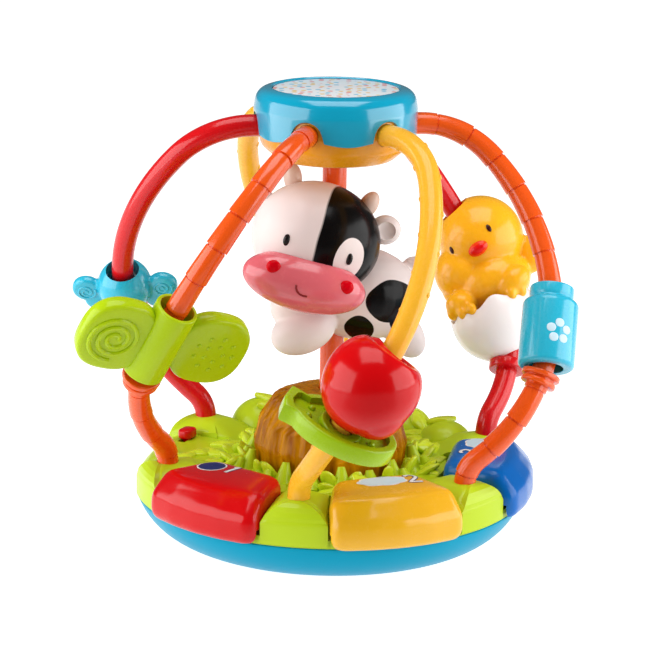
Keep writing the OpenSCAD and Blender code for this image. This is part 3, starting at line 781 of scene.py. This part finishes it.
def blade(bearing, out, height, lean, slant):
    """One grass blade: broad at the root, curling away from the hay to a soft tip."""
    root = turn("Z", bearing) @ move(0, -out, DECK_Z - 2) @ turn("X", lean) @ turn("Y", slant)
    shares = [i / 10 for i in range(11)]
    line = [Vector((0, -height * 0.3 * share * share, height * share)) for share in shares]
    radii = [4.4 * math.sqrt(1.03 - share) * (0.8 + 0.6 * share) for share in shares]
    return placed(sweep(path_frames(line), radii, 14), root @ stretch(1, 0.5, 1))


def grass():
    """Two rings of plump blades, the outer one flatter."""
    blades = []
    for out, height, lean, count in ((38.6, 10.5, 12, 18), (43.5, 10.5, 42, 18)):
        for i in range(count):
            drift = noise.noise(Vector((i * 1.7, out, 0)))
            bearing = (i + 0.5 * drift) * 360 / count
            blades.append(blade(bearing, out, height + 3 * drift, lean + 14 * drift, 26 if i % 2 else -26))
    # The grass takes the lighter lime, which is painted light.
    piece("grass", join(*blades), "base", GRASS_LIME_PAINTED_LIGHT)


def solid_surface(name):
    """Search tree of a solid's faces, in millimetres."""
    mesh = bmesh.new()
    mesh.from_mesh(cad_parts[name].data)
    tree = BVHTree.FromBMesh(placed(mesh, Matrix.Scale(1 / MM, 4)))
    mesh.free()
    return tree


def off_by(bearing, other):
    """Angle between two bearings."""
    return abs((bearing - other + 180) % 360 - 180)


def leaf_reliefs():
    """Moulded leaves lying on the deck and its hills, clear of the keys, the sockets and the switch."""
    surface = solid_surface("garden_deck")
    outline = rounded([(0, -9, 1), (5, 0, 3.5), (0, 9, 1), (-5, 0, 3.5)], 6)
    leaves = []
    for out, count in ((48, 20), (54, 22), (61, 26), (68, 28), (76, 30)):
        for i in range(count):
            bearing = i * 360 / count
            near_key = min(off_by(bearing, b) for b in KEY_BEARINGS) < KEY_HALF + 4
            near_socket = min(off_by(bearing, FOOT_BEARING + k * SIXTH) for k in range(6)) < 15
            near_switch = off_by(bearing, SWITCH_BEARING) < 13
            if out > 54 and (near_key or near_socket or (near_switch and out > 60)):
                continue
            place, normal = surface.ray_cast(bearing_point(bearing, out, ABOVE_Z), DOWN)[:2]
            if place is None or place.z < DECK_Z - 1 or normal.z < 0.6:
                continue
            slant = 40 if i % 2 else -40
            spot = aimed(place, normal, "Z", "Y") @ turn("Z", bearing + slant) @ turn("X", 90)
            leaves.append(placed(plate(outline, 2.4, 0.9, 0.8), spot))
    # The moulded leaves take the lighter lime, which is painted light.
    piece("deck_leaves", join(*leaves), "base", GRASS_LIME_PAINTED_LIGHT)


def soft_min(a, b, blend):
    """The smaller of two heights, eased where they come within blend of each other."""
    near = max(blend - abs(a - b), 0) / blend
    return min(a, b) - near * near * blend / 4


def socket_bosses():
    """Soft humps that hold the tube feet, fitted over the deck's sockets."""
    humps = []
    half = SIXTH / 2 - KEY_HALF - 0.4
    round_r = 16.5
    profile = rounded(
        [(50, DECK_Z - 1, 0), (56, DECK_Z + 1.5, 4), (68, SOCKET_Z - 0.2, 8),
         (RIM_R - 6.5, SOCKET_Z + 0.3, 7), (RIM_R + 0.8, 34, 7), (RIM_R + 0.8, SEAM_Z + 0.9, 0)],
        6, False,
    )
    for k in range(6):
        mesh = bmesh.new()
        rings = []
        for i in range(21):
            spin = half * (i / 10 - 1)
            ring = []
            for r, z in profile:
                spot = bearing_point(spin, r, z)
                nose = min(1, max(0, (70 - r) / 14))
                across = min(round_r, abs(spot.x) * (1 + 0.25 * nose))
                crest = SOCKET_Z + 0.2 - round_r + math.sqrt(round_r ** 2 - across ** 2)
                ring.append(mesh.verts.new((spot.x, spot.y, soft_min(z, crest, 1.5))))
            rings.append(ring)
        bridge(mesh, rings, False)
        mesh.faces.new(rings[0])
        mesh.faces.new(rings[-1])
        bmesh.ops.recalc_face_normals(mesh, faces=mesh.faces)
        humps.append(placed(mesh, turn("Z", FOOT_BEARING + k * SIXTH)))
    piece("tube_sockets", join(*humps), "base", LIME, (), 50)


def deck():
    dress("garden_deck", LIME)
    grass()
    leaf_reliefs()
    socket_bosses()


# Keys

KEY_IN_R = 57.0
KEY_OUT_R = 95.0
KEY_TOP_Z = 44.5
KEY_ROUND = 5.6
POCKET_Z = SEAM_Z + 4
KEY_WALL = 2.4
PIVOT_R = KEY_IN_R + 1.5
DOME_RING_R = RIM_R - 14.5
NUMBER_Y = -66.5


def key_form(radius, drop):
    """The key's skin, drawn tight over balls along its front, its top edges and its back."""
    balls = []
    reach = KEY_HALF - math.degrees(math.asin(KEY_ROUND / KEY_OUT_R)) - 0.1
    for i in range(5):
        spin = reach * (i / 2 - 1)
        balls.append((bearing_point(spin, KEY_OUT_R - KEY_ROUND, POCKET_Z - 5 + KEY_ROUND - drop), radius))
        balls.append((bearing_point(spin, KEY_OUT_R - KEY_ROUND - 0.3, POCKET_Z + 6), radius))
        balls.append((bearing_point(spin, KEY_OUT_R - 6 - KEY_ROUND, KEY_TOP_Z - 0.7 - KEY_ROUND), radius))
    reach = KEY_HALF - math.degrees(math.asin(KEY_ROUND / KEY_IN_R))
    for i in range(3):
        spin = reach * (i - 1)
        balls.append((bearing_point(spin, KEY_IN_R + KEY_ROUND, KEY_TOP_Z - KEY_ROUND), radius))
        balls.append((bearing_point(spin, KEY_IN_R + KEY_ROUND, POCKET_Z + 0.5 + KEY_ROUND - drop), radius))
    return hull(balls)


def key_cap():
    """Pillow-shaped hollow key with its stem and hinge pins, facing the front."""
    skin = melted(key_form(KEY_ROUND, 0), 0.9, 40)
    for vert in skin.verts:
        if vert.co.z > 36:
            across = vert.co.x / 26
            along = (vert.co.y + 73) / 16
            vert.co.z += 0.9 * max(0, 1 - across * across) * max(0, 1 - along * along)
    room = lathe([(40, -1), (RIM_R + 1.8, -1), (RIM_R + 1.8, POCKET_Z + 2.7), (40, POCKET_Z + 2.7)], 96)
    shell = cut_by(skin, key_form(KEY_ROUND - KEY_WALL, 14), room)
    stem = rod(2.4, POCKET_Z + 5.4, KEY_TOP_Z - 1.6, move(0, -DOME_RING_R, 0))
    pin_x = PIVOT_R * math.sin(math.radians(KEY_HALF))
    pins = [
        rod(1.6, low, low + 5.8, move(0, -PIVOT_R, POCKET_Z + 4.5) @ turn("Y", 90), 24)
        for low in (-pin_x - 3.2, pin_x - 2.6)
    ]
    return join(shell, stem, *pins)


NUMBERS = {
    1: [(-1.8, 3.2), (0, 5), (0, -5)],
    2: [(-2.6, 2.8), (-1.8, 4.4), (0, 5), (2, 4.2), (2.5, 2.4), (1.4, 0), (-2.8, -5), (3, -5)],
    3: [(-2.6, 4), (-0.8, 5), (1.4, 4.6), (2.4, 3), (1.6, 1), (-0.2, 0.3), (2, -0.6), (2.8, -2.4),
        (1.6, -4.4), (-0.8, -5), (-2.8, -3.8)],
}


def laid(surface, rows, lift, closed):
    """Print laid on a surface from above: rows of flat points joined row to row."""
    mesh = bmesh.new()
    grid = []
    for row in rows:
        line = []
        for x, y in row:
            hit = surface.ray_cast(Vector((x, y, ABOVE_Z)), DOWN)[0]
            line.append(mesh.verts.new(hit - DOWN * lift))
        grid.append(line)
    bridge(mesh, grid, closed)
    return mesh


def printed_number(surface, value, x, y, half_width, lift):
    corners = [Vector((x + px, y + py)) for px, py in NUMBERS[value]]
    line = [corners[0]]
    for here, there in zip(corners, corners[1:]):
        parts = math.ceil((there - here).length / 0.8)
        line += [here.lerp(there, i / parts) for i in range(1, parts + 1)]
    sides = ([], [])
    for i, point in enumerate(line):
        ahead = ahead_at(line, i)
        across = Vector((-ahead.y, ahead.x)) * half_width
        sides[0].append(point + across)
        sides[1].append(point - across)
    return laid(surface, sides, lift, False)


def printed_cloud(surface, x, y, width, depth, puffs, lift):
    """Rounded patch whose edge swells out in soft puffs. With none it is a plain oval."""
    rows = []
    for share in (1.0, 0.75, 0.5, 0.25, 0.02):
        row = []
        for angle in angles_round(60):
            swell = share * (1 + (0.12 * abs(math.sin(puffs * angle / 2)) if puffs else 0))
            row.append((x + width * swell * math.cos(angle), y + depth * swell * math.sin(angle)))
        rows.append(row)
    return laid(surface, rows, lift, True)


def key(cap, colour, value, bearing, material, patch, patch_paint, number_x):
    """A key with a plain number and a bare picture patch printed on its top."""
    surface = BVHTree.FromBMesh(cap)
    x, y, width, depth, puffs = patch
    spot = turn("Z", bearing)
    prints = (
        ("patch_edge", printed_cloud(surface, x, y, width + 0.7, depth + 0.8, puffs, 0.08), WHITE_PAINT),
        ("patch", printed_cloud(surface, x, y, width, depth, puffs, 0.16), patch_paint),
        ("number_edge", printed_number(surface, value, number_x, NUMBER_Y, 1.25, 0.08), NUMBER_BLUE),
        ("number", printed_number(surface, value, number_x, NUMBER_Y, 0.75, 0.16), WHITE_PAINT),
    )
    slot = "key_" + colour
    body = colour + "_key"
    piece(colour + "_key_cap", placed(cap, spot), body, material, [slot], 50)
    for label, mesh, paint in prints:
        piece(colour + "_key_" + label, placed(mesh, spot), body, paint)


def keys():
    cap = key_cap()
    key(cap.copy(), "red", 1, KEY_BEARINGS[0], KEY_RED, (-12, -68, 6.2, 6, 0), NUMBER_BLUE, -1)
    key(cap.copy(), "yellow", 2, KEY_BEARINGS[1], KEY_YELLOW, (0, -67, 10, 5.5, 7), SKY_PRINT, 14.5)
    key(cap, "blue", 3, KEY_BEARINGS[2], KEY_BLUE, (10, -68, 7.5, 5, 7), SKY_PRINT, -5)


SWITCH_R = RIM_R - 14.5
KNOB_HEIGHT = 4.4


def switch():
    knob = rounded([(-5, -3.5, 3), (5, -3.5, 3), (5, 3.5, 3), (-5, 3.5, 3)], 8)
    knob = plate(knob, KNOB_HEIGHT, 1.3, 0.3)
    stem = plate([(-1.5, -1.5), (1.5, -1.5), (1.5, 1.5), (-1.5, 1.5)], 8, 0.2)
    forms = []
    for form, middle_z in ((knob, DECK_Z + RUN_GAP + KNOB_HEIGHT / 2), (stem, DECK_Z - 1.5)):
        spot = turn("Z", SWITCH_BEARING) @ move(0, -SWITCH_R, middle_z) @ turn("X", -90)
        forms.append(placed(form, spot))
    piece("power_slider", join(*forms), "switch", KEY_RED, ["switch_knob"])


# Cap

CAP_R = 37.0
CAP_TOP_Z = 210.0
SKIRT_Z = 188.8
SKIRT_TOP_Z = 200.0
INLAY_R = 28.55
INLAY_FLOOR_Z = CAP_TOP_Z - 2.2
NOTCH_BEARING = START_BEARING + 4
NOTCH_R = 7.6
NOTCH_Z = TUBE_Z - 1.2


def cap_cover():
    """Blue cover whose skirt hangs in soft lobes, with a round notch over each tube."""
    drop = SKIRT_TOP_Z - SKIRT_Z
    lip_r = INLAY_R + 0.25
    outer = [(lip_r, INLAY_FLOOR_Z), (lip_r, CAP_TOP_Z - 0.5), (29.4, CAP_TOP_Z)]
    outer += rounded(
        [(30, CAP_TOP_Z, 0), (CAP_R - 1.2, CAP_TOP_Z - 1.5, 6), (CAP_R, CAP_TOP_Z - 9, 6),
         (CAP_R, SKIRT_TOP_Z, 0)],
        8, False,
    )
    skirt = [(CAP_R - 0.02 * i, SKIRT_TOP_Z - drop * i / 10) for i in range(1, 11)]
    under = [(CAP_R - 1.5, SKIRT_Z + drop * i / 10) for i in range(11)]
    ceiling_z = CAP_TOP_Z - 4.6
    inside = [(CAP_R - 4.5, CAP_TOP_Z - 5.4), (CAP_R - 8, ceiling_z), (0, ceiling_z), (0, INLAY_FLOOR_Z)]

    def scallop(angle, radius, height):
        if height > SKIRT_TOP_Z or radius < CAP_R - 3:
            return radius, height
        off = (math.degrees(angle) - NOTCH_BEARING + SIXTH / 2) % SIXTH - SIXTH / 2
        across = CAP_R * math.radians(off)
        low = SKIRT_Z + 2.4 * math.cos(math.radians(off * 3)) ** 2
        if abs(across) < NOTCH_R:
            low = max(low, NOTCH_Z + math.sqrt(NOTCH_R ** 2 - across ** 2))
        ease = (SKIRT_TOP_Z - height) / drop
        return radius, SKIRT_TOP_Z - (SKIRT_TOP_Z - low) * ease

    cover = lathe(outer + skirt + under + inside, 240, scallop)
    piece("cap_top", cover, "base", CAP_BLUE, ["cap_cover"], 35)
    floor_z = INLAY_FLOOR_Z + 0.05
    top_z = CAP_TOP_Z - 0.85
    disc = rounded([(0, floor_z, 0), (INLAY_R, floor_z, 0), (INLAY_R, top_z, 0.5), (0, top_z, 0)], 3)
    piece("cap_inlay", lathe(disc, 96), "base", LABEL, ["cap_disc"])


def cap_dish():
    profile = rounded(
        [(5.7, 177.6, 0), (26, 177.6, 5), (33.4, 184, 6), (35.3, 191, 3), (35.3, 199, 0.6),
         (32.9, 199, 0.6), (32.9, 191, 3), (30, 185, 5), (25, 180, 4), (5.7, 180, 0)],
        6,
    )
    bores = [rod(TUBE_R + 0.15, -15, 15, on_tube(k, 12), 32) for k in range(6)]
    dish = cut_by(lathe(profile, 120), *bores)
    piece("cap_base", dish, "base", DISH_YELLOW, ["cap_dish"], 30)


POST_R = 5.5
POST_RING_R = 8.0
POST_RING_Z = (118.0, 121.0)


def centre_post():
    low, high = POST_RING_Z
    profile = [(0, 24), (11, 29.9), (11, 32.4)] + [(POST_R, z) for z in (32.4, 60, 90, low)]
    profile += [(POST_RING_R, low), (POST_RING_R, high), (POST_R, high), (POST_R, 190), (0, 190)]
    piece("post", lathe(profile, 48), "base", ORANGE, ["centre_post"], 30)


# Cow

HEAD_MID = (-8, -15, 143.5)
HEAD_TILT = 13
MUZZLE_MID = (-12.8, -34, 127.5)
head_axes = move(*HEAD_MID) @ turn("Y", HEAD_TILT)
muzzle_axes = move(*MUZZLE_MID) @ turn("Y", HEAD_TILT)


def post_bore():
    """Running clearance round the post and its ring."""
    low, high = POST_RING_Z
    return rod(POST_R + RUN_GAP, 50, 210), rod(POST_RING_R + RUN_GAP, low - RUN_GAP, high + RUN_GAP)


def cow():
    body = melted(join(
        ball((28.6, 21.6, 21.6), move(12, 1, 115) @ turn("Y", 8)),
        ball((15.6, 11, 10.6), move(-13, -16, 101) @ turn("Y", -24)),
        ball((11.6, 11.6, 11.6), move(-17, -10, 111)),
        ball((8.4, 8.2, 12.6), move(33, -3, 97) @ turn("Y", -35)),
        ball((6, 3.5, 3.5), move(38, 10, 127)),
    ))
    body = cut_by(body, *post_bore())
    body_paint = painted("cow_body_paint", WHITE, [
        ((26, -16, 115), (12, 18, 9.5), BLACK, 0.5),
        ((32, -14, 106), (6, 18, 8), BLACK, 0.3),
        ((12, -20, 100), (7.5, 12, 10), BLACK, 0.4),
        ((14, 20, 118), (15, 10, 11), BLACK, 0.35),
    ])
    piece("cow_trunk", body, "cow", body_paint, ["cow_body"], 60)

    head = cut_by(ball((29.3, 25.4, 25.8), head_axes, 64), *post_bore())
    x, y, z = HEAD_MID
    head_paint = painted("cow_head_paint", WHITE, [
        ((x + 40, y - 25, z), (40, 60, 200), BLACK, 0.03),
        ((x + 16, y - 22, z - 2), (7.4, 9, 10.8), WHITE, 0.15),
        ((x + 15, y - 22, z - 12), (9, 9, 6), WHITE, 0.1),
    ], (HEAD_MID, -HEAD_TILT))
    piece("cow_skull", head, "cow", head_paint, ["cow_head"], 60)

    muzzle = cut_by(ball((28, 13.2, 13.2), muzzle_axes, 64), ball((29.5, 25.6, 26), head_axes, 64))
    piece("cow_snout", muzzle, "cow", PINK, ["cow_muzzle"], 60)

    for label, side, horn_at in (("left", -1, (-16.5, 5, 23.6)), ("right", 1, (19.5, 5, 19.5))):
        horn = head_axes @ move(*horn_at) @ turn("Y", 18 * side)
        piece("cow_horn_" + label, ball((4.2, 4.2, 6.8), horn), "cow", HORN_TAN)
        ear = head_axes @ move(29.5 * side, 4, 10.5) @ turn("Y", -20 * side)
        hollow = ball((4.6, 2.2, 4.6), ear @ move(0.8 * side, -4, 0))
        lobe = cut_by(ball((7.2, 4, 6.8), ear), hollow)
        piece("cow_ear_" + label, lobe, "cow", COW_WHITE, (), 60)

    for label, spot in (("left", (-13.3, -22.6, 1.1)), ("right", (15.7, -21.4, -1))):
        eye = ball((1.5, 1.1, 2.7), head_axes @ move(*spot))
        piece("cow_eye_" + label, eye, "cow", BLACK_PAINT)

    for label, spot in (("left", (-15.1, -9.4, 5.9)), ("right", (18.3, -8.9, 4.5))):
        nostril = ball((3.2, 1.9, 3.1), muzzle_axes @ move(*spot))
        piece("cow_nostril_" + label, nostril, "cow", NOSTRIL_RED)

    smile = [
        (-3.6, -13.0, 1.2), (-3.4, -13.1, -0.2), (-2.6, -13.1, -1.6), (-1.2, -12.9, -2.6), (0.6, -12.8, -3.0),
        (2.2, -12.7, -2.8),
    ]
    points = [muzzle_axes @ Vector(p) for p in smile]
    piece("cow_smile", sweep(path_frames(points), [0.5] * len(points), 8), "cow", SMILE_RED)


# Beads

BORE_R = 7.8


def coiled(x, y, z, turns, start, reach, points, radius):
    """Flat spiral of round wire in relief, standing on a face at y."""
    line = []
    for i in range(points):
        angle = turns * i
        out = start + reach * i / points
        line.append(Vector((x + out * math.cos(angle), y, z + out * math.sin(angle))))
    return sweep(path_frames(line), [radius] * points, 8)


def butterfly():
    """Two broad wings on a sleeve: a coil in relief on one and pips on the other."""
    axes = on_tube(5, BUTTERFLY_S) @ move(0, 0.9, 0) @ turn("Z", 41)
    half = 37.5 / 2
    sleeve = rounded([(BORE_R, -half, 0.4), (9.6, -half, 0.8), (9.6, half, 0.8), (BORE_R, half, 0.4)], 4)
    sleeve = lathe(sleeve, 64)
    wings = []
    for x, z in ((-20.5, -1), (23.5, 1)):
        oval = []
        for angle in angles_round(64):
            c, s = math.cos(angle), math.sin(angle)
            oval.append((17 * math.copysign(abs(c) ** 0.8, c), 18.5 * math.copysign(abs(s) ** 0.8, s)))
        wings.append(placed(plate(oval, 8, 2.4, 0.3), move(x, 0, z)))
    wings = cut_by(join(*wings), rod(8.4, -30, 30))
    relief = [coiled(-22, -4.2, -1, 0.16, 1.5, 11, 110, 1.1)]
    for ring, count in ((4.5, 5), (9, 9)):
        for angle in angles_round(count):
            dot = move(25 + ring * math.cos(angle), -4.1, 1 + ring * math.sin(angle))
            relief.append(ball((1.1, 0.8, 1.1), dot, 12))
    bead = placed(join(sleeve, wings, *relief), axes)
    piece("butterfly_wings", bead, "butterfly_bead", BUTTERFLY_GREEN, ["butterfly"])


def bug():
    """Round bead with two pairs of small wings, each upper wing with a coil in relief."""
    axes = on_tube(4, BUG_S) @ move(0, 0.4, 0) @ turn("Z", 74)
    forms = [ball((12.9, 12.9, 12.9), Matrix(), 48)]
    coils = []
    for side in (-1, 1):
        for x, z, radius in ((18.2 * side, 1.7 * side - 0.7, 7), (14.5 * side, side - 8.5, 5.5)):
            forms.append(plate(arc((x, z), radius, 0, 360, 32)[:-1], 5, 1.8, 0.3))
        coils.append(coiled(18.2 * side, -2.6, 1.7 * side - 0.7, 0.22, 0.6, 4.2, 60, 0.5))
    solid = cut_by(melted(join(*forms), 0.6, 6), rod(BORE_R, -30, 30))
    piece("bug_wings", placed(join(solid, *coils), axes), "bug_bead", BEAD_BLUE, ["bug"], 50)


def apple():
    """Heart-shaped apple: a round body with a soft lip round the tube and a chin that hangs down."""
    profile = [(0, 9), (8, 9.4)] + arc((12.4, 11.4), 4.2, 205, 55, 8) + arc((0, 0), 21.2, 36, -90, 30)
    body = lathe([(r, z * 1.09 if z < 0 else z) for r, z in profile], 72, None, False)
    chin = ball((16.7, 16.7, 22), turn("Z", -50.2) @ turn("Y", 137.3) @ move(0, 0, 2.2), 48)
    solid = melted(join(body, chin), 0.7, 16)
    solid = cut_by(solid, rod(BORE_R, -2, 40, move(0, 1.1, 0)), rod(6.9, -40, 0, move(1.1, 2.05, 0)))
    fruit = placed(solid, on_tube(0, APPLE_S))
    piece("apple_fruit", fruit, "apple_bead", APPLE_RED, ["apple"], 60)


def leaf_outline(inset):
    """Broad leaf with a blunt stalk end, drawn in from its edge by inset."""
    points = []
    for i in range(41):
        angle = math.radians(-150 + 300 * i / 40)
        points.append(((24 - inset) * math.cos(angle) + 1, (17 - inset) * math.sin(angle)))
    points += [(-23 + inset / 2, 9 - inset / 2), (-26.5 + inset, 9.5 - inset), (-27.5 + inset, 0)]
    return points + [(-26 + inset, -8 + inset), (-23 + inset / 2, -8 + inset / 2)]


def leaf_ring():
    """Leaf-shaped ring with a raised rim, pips on its floor and a short stalk end."""
    tilt = turn("Z", 5) @ turn("Y", -9) @ move(0.7, 2.8, 0)
    half = 8.5 / 2
    solid = placed(plate(leaf_outline(0), 2 * half, 1.4), tilt @ turn("X", -90))
    dish = placed(plate(leaf_outline(3.6), 6, 0.5), tilt @ move(0, 0, half) @ turn("X", -90))
    solid = cut_by(cut_by(solid, dish), rod(9.6, -30, 30))
    hub = rounded(
        [(BORE_R, -0.6, 0), (9.25, -0.6, 0), (9.25, -3, 0), (9.8, -3, 0.2), (9.8, 3.6, 0.8),
         (TUBE_R + 0.7, 3.6, 0.4), (TUBE_R + 0.7, 2.4, 0), (BORE_R, 2.4, 0)],
        4,
    )
    hub = lathe(hub, 64)
    nubs = []
    for i in range(10):
        angle = math.radians(i * 36 + 18)
        spot = tilt @ move(15.5 * math.cos(angle), 11 * math.sin(angle), 1.4)
        nubs.append(ball((1.7, 1.7, 1.5), spot, 14))
    bead = placed(join(solid, hub, *nubs), on_tube(0, LEAF_S))
    piece("leaf_bead", bead, "leaf_bead", LEAF_GREEN, ["leaf_ring"])


def roller():
    """Jar-shaped roller with a flower of five dots on two sides."""
    axes = on_tube(1, ROLLER_S) @ move(0, 0.9, 0)
    half = 19.0
    drum_r = 12.6
    profile = rounded(
        [(BORE_R, -half, 0.3), (drum_r, -half, 2), (drum_r, half - 7.5, 3), (9.4, half - 6, 0.8),
         (9.9, half - 4.4, 0.5), (9.9, half, 0.8), (BORE_R, half, 0.3)],
        6,
    )
    drum = placed(lathe(profile, 72), axes)
    piece("roller_drum", drum, "roller_bead", BEAD_BLUE, ["roller"])
    petals = []
    for facing in (-84, 96):
        for i in range(5):
            angle = math.radians(i * 72 + 18)
            across = math.degrees(3.9 * math.cos(angle) / drum_r)
            spot = turn("Z", facing + across) @ move(0, 0.1 - drum_r, -5 + 3.9 * math.sin(angle))
            petals.append(ball((2.1, 0.3, 2.1), spot, 20))
    piece("roller_flower", placed(join(*petals), axes), "roller_bead", SKY_PRINT)


CHICK_TURN = -163
CHICK_HEAD = (4, -2.2, 20.5)
CHICK_HEAD_R = 20.6
EGG_AT = (-5.5, -4.5, -18)
EGG_R = 21.5
chick_axes = on_tube(2, CHICK_S) @ turn("Z", CHICK_TURN)


def tube_slot(radius):
    """Curved clearance round the tube, for a bead that slides on the long bend."""
    stations = [CHICK_S - 62 + 4 * i for i in range(24)]
    frames = [bend(on_tube(2, CHICK_S), SIDE[0], math.degrees((s - CHICK_S) / SIDE[0])) for s in stations]
    return sweep(frames, [radius] * len(frames), 32)


def face_spot(direction, sink):
    """Frame on the chick's head, facing outward along a direction from its middle."""
    outward = Vector(direction).normalized()
    middle = chick_axes @ Vector(CHICK_HEAD)
    return aimed(middle + outward * (CHICK_HEAD_R - sink), outward, "-Y", "Z")


def chick():
    forms = [
        ball((CHICK_HEAD_R,) * 3, move(*CHICK_HEAD), 48),
        ball((19.3, 18.6, 14.6), move(0, -3, -2)),
        ball((14, 13.5, 14), move(-10.8, -5, 8)),
        ball((6.5, 5.5, 10), move(23.5, -1.5, 3.5) @ turn("Y", 30)),
        ball((6, 6, 10), move(-18, -4, 0) @ turn("Y", -10)),
        ball((9.5, 7, 7), move(9, -16.5, -7.5) @ turn("Y", -20)),
        ball((7.5, 6.4, 6.4), move(-18, -15, -7) @ turn("Y", 20)),
    ]
    for toe in ((-23.5, -15, -9.5), (-19, -19.5, -11.5), (-14, -22.5, -12), (6, -21, -13), (11, -18, -13)):
        forms.append(ball((2.6, 3, 3.4), move(*toe)))
    figure = cut_by(placed(melted(join(*forms), 0.8, 8), chick_axes), tube_slot(8))
    piece("chick_figure", figure, "chick_bead", CHICK_GOLD, ["chick"], 60)
    for label, direction in (("left", (-14.7, -14.3, -3.3)), ("right", (2.6, -18.6, 8.9))):
        eye = ball((1.1, 0.7, 1.9), face_spot(direction, 0) @ turn("Y", -28))
        piece("chick_eye_" + label, eye, "chick_bead", BROWN_PAINT)
    beak = face_spot((-2.4, -20.6, -1.0), 0.6) @ turn("Y", -38)
    piece("chick_beak", ball((5.2, 2.6, 3.3), beak), "chick_bead", BEAK_ORANGE)
    mouth = ball((4.1, 1.6, 2.3), beak @ move(0, -1.5, 0))
    piece("chick_mouth", mouth, "chick_bead", BEAK_RED)


def egg():
    """Open shell with a wavy broken edge, worn like trousers."""
    outer = arc((0, 0), EGG_R, -65, 19, 26)
    inner = arc((0, 0), EGG_R - 2.5, 19, -65, 24)

    def broken(angle, radius, height):
        rise = max(0.0, height / 8)
        return radius, height + 1.9 * rise * math.sin(7 * angle + 0.6) - 1.0 * rise

    shell = placed(lathe(outer + inner, 112, broken), chick_axes @ move(*EGG_AT))
    piece("egg_shell", shell, "chick_bead", EGG_WHITE, ["egg"], 50)


# Inner and lower pieces that show as their solids


def inner_pieces():
    looks = (
        (STEEL, ("cap_screws", "base_screws", "post_screw", "door_screw", "cell_contacts")),
        (BOWL_BLUE, ("battery_door",)),
        (CELL_WRAP, ("cells",)),
        (BOARD_GREEN, ("circuit_board",)),
        (BLACK_PLASTIC, ("speaker", "switch_body")),
        (LAMP_WHITE, ("lamp",)),
        (RUBBER, ("key_domes",)),
    )
    for material, names in looks:
        for name in names:
            dress(name, material)


# Stage

CAMERA_PLACE = (0, -1.178, 0.3978)
CAMERA_PITCH = 0.2479
CAMERA_YAW = -0.0028
CAMERA_ROLL = 0.0158
IMAGE_SIZE = 650
FOCAL_PIXELS = 2647.5
SENSOR_MM = 36


def camera():
    lens = bpy.data.cameras.new("camera")
    lens.sensor_width = SENSOR_MM
    lens.lens = FOCAL_PIXELS * SENSOR_MM / IMAGE_SIZE
    thing = in_scene("camera", lens)
    pan = Matrix.Rotation(-CAMERA_YAW, 4, "Z")
    tilt = Matrix.Rotation(math.pi / 2 - CAMERA_PITCH, 4, "X")
    lean = Matrix.Rotation(CAMERA_ROLL, 4, "Z")
    thing.matrix_world = Matrix.Translation(CAMERA_PLACE) @ pan @ tilt @ lean
    bpy.context.scene.camera = thing


def area_light(name, place, target, width, height, power):
    light = bpy.data.lights.new(name, "AREA")
    light.shape = "RECTANGLE"
    light.size = width
    light.size_y = height
    light.energy = power
    thing = in_scene(name, light)
    thing.matrix_world = aimed(place, Vector(target) - Vector(place), "-Z", "Y")


def floor():
    """Pale paper that is seen white from everywhere, but lights the toy little from the front."""
    mesh = bmesh.new()
    bmesh.ops.create_grid(mesh, x_segments=1, y_segments=1, size=6)
    data = mesh_data("floor", mesh)
    thing = in_scene("floor", data)
    material = plastic("floor_paper", (0.5, 0.5, 0.5, 1), roughness=0.8, coat=0.0, drift=0.01)
    tree = material.node_tree
    spot = node(tree, "SeparateXYZ", {"Vector": object_place(tree)})
    beyond = maths(tree, "SUBTRACT", maths(tree, "ABSOLUTE", spot.outputs["X"]), 0.13, clamp=True)
    back = maths(tree, "MULTIPLY_ADD", beyond, 0.9, spot.outputs["Y"])
    dim = ranged(tree, back, -0.2, -0.13, 0.02, 0.75)
    in_view = node(tree, "LightPath", {}).outputs["Is Camera Ray"]
    light = maths(tree, "MAXIMUM", in_view, dim)
    feed(tree, tree.nodes["Principled BSDF"], {"Emission Color": light, "Emission Strength": 1})
    data.materials.append(material)


def studio():
    world = bpy.data.worlds.new("studio")
    bpy.context.scene.world = world
    world.use_nodes = True
    tree = world.node_tree
    feed(tree, tree.nodes["Background"], {"Color": (1, 1, 1, 1), "Strength": 0.12})
    area_light("left_softbox", (-0.58, -0.2, 0.26), (0, 0, 0.12), 0.8, 0.45, 3.8)
    area_light("right_softbox", (0.62, -0.14, 0.26), (0, 0, 0.12), 0.8, 0.45, 3.8)
    area_light("top_light", (0, -0.15, 1.3), (0, 0, 0.1), 1.0, 1.0, 11)
    bpy.context.scene.view_settings.view_transform = "Standard"


base_bowl()
deck()
hay_dome()
centre_post()
grip_tubes()
keys()
switch()
cap_cover()
cap_dish()
cow()
butterfly()
bug()
apple()
leaf_ring()
roller()
chick()
egg()
inner_pieces()
floor()
studio()
camera()
